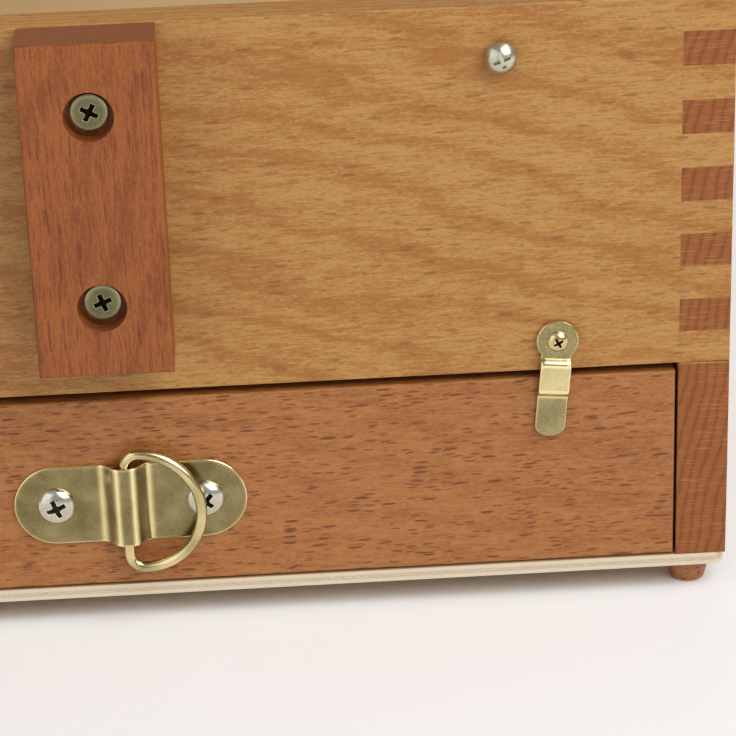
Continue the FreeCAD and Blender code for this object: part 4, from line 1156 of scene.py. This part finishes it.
class EASEL_OT_handle(bpy.types.Operator):
    """Sew the leather carrying handle round its two bars"""
    bl_idname = "easel.handle"
    bl_label = "Carrying handle"

    def execute(self, context):
        sizes = easel().sizes
        low, high = span("carry_handle")
        bar_radius, past_bar, thin, clearance = 2.0, 2.5, 2.2, 0.15
        seam_inset, thread_radius, pitch = 3.2, 0.42, sizes.stitch * 1.45
        bar_in = bar_radius + past_bar
        line = strap_line(low[1] + bar_in, high[1] - bar_in, low[0] + bar_in,
                          bar_radius + thin / 2 + clearance,
                          high[0] - low[0] - bar_in - sizes.strap_thick / 2)
        path = np.column_stack([line, np.full(len(line), (low[2] + high[2]) / 2)])
        full = smooth_step(0.66, 0.36, np.abs(np.linspace(-1, 1, len(line))))
        thickness = thin + (sizes.strap_thick - thin) * full
        width = (high[2] - low[2]) / 2 - 0.2
        grid, rim = ribbon(path, np.array([0, 0, 1.0]), width, thickness, 12, 8)
        new_piece("handle_strap", [(metres(capped(grid)), rim, False, True)], "box",
                  leather("Handle leather", (0.30, 0.105, 0.032), (0.13, 0.040, 0.013)),
                  ["carry_handle"], 60.0)

        along = tangents(path)
        outward = np.cross(along, [0, 0, 1.0])
        run = np.concatenate([[0], np.cumsum(np.linalg.norm(np.diff(path, axis=0), axis=1))])
        sewn = run[full > 0.02]
        patches = []
        for spot in np.arange(sewn[0], sewn[-1], pitch):
            at = np.searchsorted(run, spot)
            surface = path[at] + outward[at] * thickness[at] / 2
            for edge in (-1, 1):
                bead = stitch_bead(surface + np.array([0, 0, edge * (width - seam_inset)]),
                                   along[at], outward[at], sizes.stitch, thread_radius)
                patches.append((metres(bead), 0.0, False, True))
        thread = leather("Waxed thread", (0.62, 0.50, 0.32), (0.48, 0.36, 0.20))
        new_piece("handle_stitches", patches, "box", thread, [])
        return {"FINISHED"}


class EASEL_OT_stage(bpy.types.Operator):
    """Set the pale floor, the soft light and the camera"""
    bl_idname = "easel.stage"
    bl_label = "Stage"

    def execute(self, context):
        stage = easel().stage
        material = bpy.data.materials.new("Pale floor")
        material.use_nodes = True
        nodes = Nodes(material.node_tree)
        place = nodes.add("ShaderNodeTexCoord")
        mottle = nodes.noise(place.outputs["Object"], (2.0, 2.0, 2.0), 2.0)
        shade = nodes.mix(mottle, four(stage.floor), four([part * 0.97 for part in stage.floor]))
        shader = material.node_tree.nodes["Principled BSDF"]
        material.node_tree.links.new(shade, shader.inputs["Base Color"])
        shader.inputs["Roughness"].default_value = 0.7
        half_floor, lines = 14.0, 9
        side = np.linspace(-half_floor, half_floor, lines)
        floor_x, floor_y = np.meshgrid(side, side, indexing="ij")
        grid = np.stack([floor_x, floor_y, 0 * floor_x], axis=-1)
        mesh = bpy.data.meshes.new("floor")
        mesh.from_pydata(grid.reshape(-1, 3).tolist(), [],
                         grid_faces(lines, lines, False, False, 0).tolist())
        mesh.materials.append(material)
        floor = bpy.data.objects.new("floor", mesh)
        context.scene.collection.objects.link(floor)

        world = bpy.data.worlds.new("Room")
        world.use_nodes = True
        room = Nodes(world.node_tree)
        seen = room.add("ShaderNodeLightPath").outputs["Is Camera Ray"]
        strength = room.math("MULTIPLY_ADD", seen, stage.backdrop - stage.sky, stage.sky)
        backdrop = world.node_tree.nodes["Background"]
        backdrop.inputs["Color"].default_value = (1, 1, 1, 1)
        world.node_tree.links.new(strength, backdrop.inputs["Strength"])
        context.scene.world = world
        for name, spot, size, power in (
                ("Key light", (1400.0, -1300.0, 1900.0), 1.9, stage.key),
                ("Fill light", (-1800.0, -1600.0, 1100.0), 2.4, stage.fill),
                ("Back light", (-700.0, 2300.0, 2200.0), 2.8, stage.fill)):
            lamp = bpy.data.lights.new(name, "AREA")
            lamp.energy, lamp.size = power, size
            light = bpy.data.objects.new(name, lamp)
            light.location = metres(spot)
            aim = Vector(metres((0, 60, 60))) - light.location
            light.rotation_euler = aim.to_track_quat("-Z", "Y").to_euler()
            context.scene.collection.objects.link(light)

        data = bpy.data.cameras.new("Camera")
        data.sensor_width = 36.0
        data.lens = stage.lens
        data.shift_x, data.shift_y = stage.shift
        data.clip_start = 0.01
        camera = bpy.data.objects.new("Camera", data)
        level = Matrix.Rotation(stage.yaw, 3, "Z") @ Matrix.Rotation(-stage.pitch, 3, "X")
        turn = level @ Matrix.Rotation(stage.roll, 3, "Y") @ Matrix.Rotation(
            math.radians(90), 3, "X")
        camera.matrix_world = Matrix.Translation(metres(stage.camera)) @ turn.to_4x4()
        context.scene.collection.objects.link(camera)
        context.scene.camera = camera
        context.scene.view_settings.view_transform = "Standard"
        return {"FINISHED"}


PIECE_OPERATORS = (
    EASEL_OT_stage, EASEL_OT_box_boards, EASEL_OT_strut, EASEL_OT_sheets, EASEL_OT_feet,
    EASEL_OT_insides, EASEL_OT_drawer_front, EASEL_OT_ring_plate, EASEL_OT_drawer_ring,
    EASEL_OT_latches, EASEL_OT_lid_boards, EASEL_OT_mast, EASEL_OT_hinges,
    EASEL_OT_wing_nuts, EASEL_OT_handle,
)


class EASEL_PT_panel(bpy.types.Panel):
    """Lists the easel's pieces in build order"""
    bl_idname = "EASEL_PT_panel"
    bl_label = "French box easel"
    bl_space_type = "VIEW_3D"
    bl_region_type = "UI"
    bl_category = "Easel"

    def draw(self, context):
        for operator in PIECE_OPERATORS:
            self.layout.operator(operator.bl_idname)


CLASSES = (BeechStock, PlyStock, MetalStock, FittingSizes, StageSettings, EaselSettings,
           *PIECE_OPERATORS, EASEL_PT_panel)


def register():
    for kind in CLASSES:
        bpy.utils.register_class(kind)
    bpy.types.Scene.easel_settings = PointerProperty(type=EaselSettings)


def unregister():
    del bpy.types.Scene.easel_settings
    for kind in reversed(CLASSES):
        bpy.utils.unregister_class(kind)


def main():
    """Registers the add-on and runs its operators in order."""
    register()
    for stock, values in STOCKS.items():
        for key, value in values.items():
            setattr(getattr(easel(), stock), key, value)
    for operator in PIECE_OPERATORS:
        getattr(bpy.ops.easel, operator.bl_idname.split(".")[1])()
    bpy.context.view_layer.update()


if __name__ == "__main__":
    main()
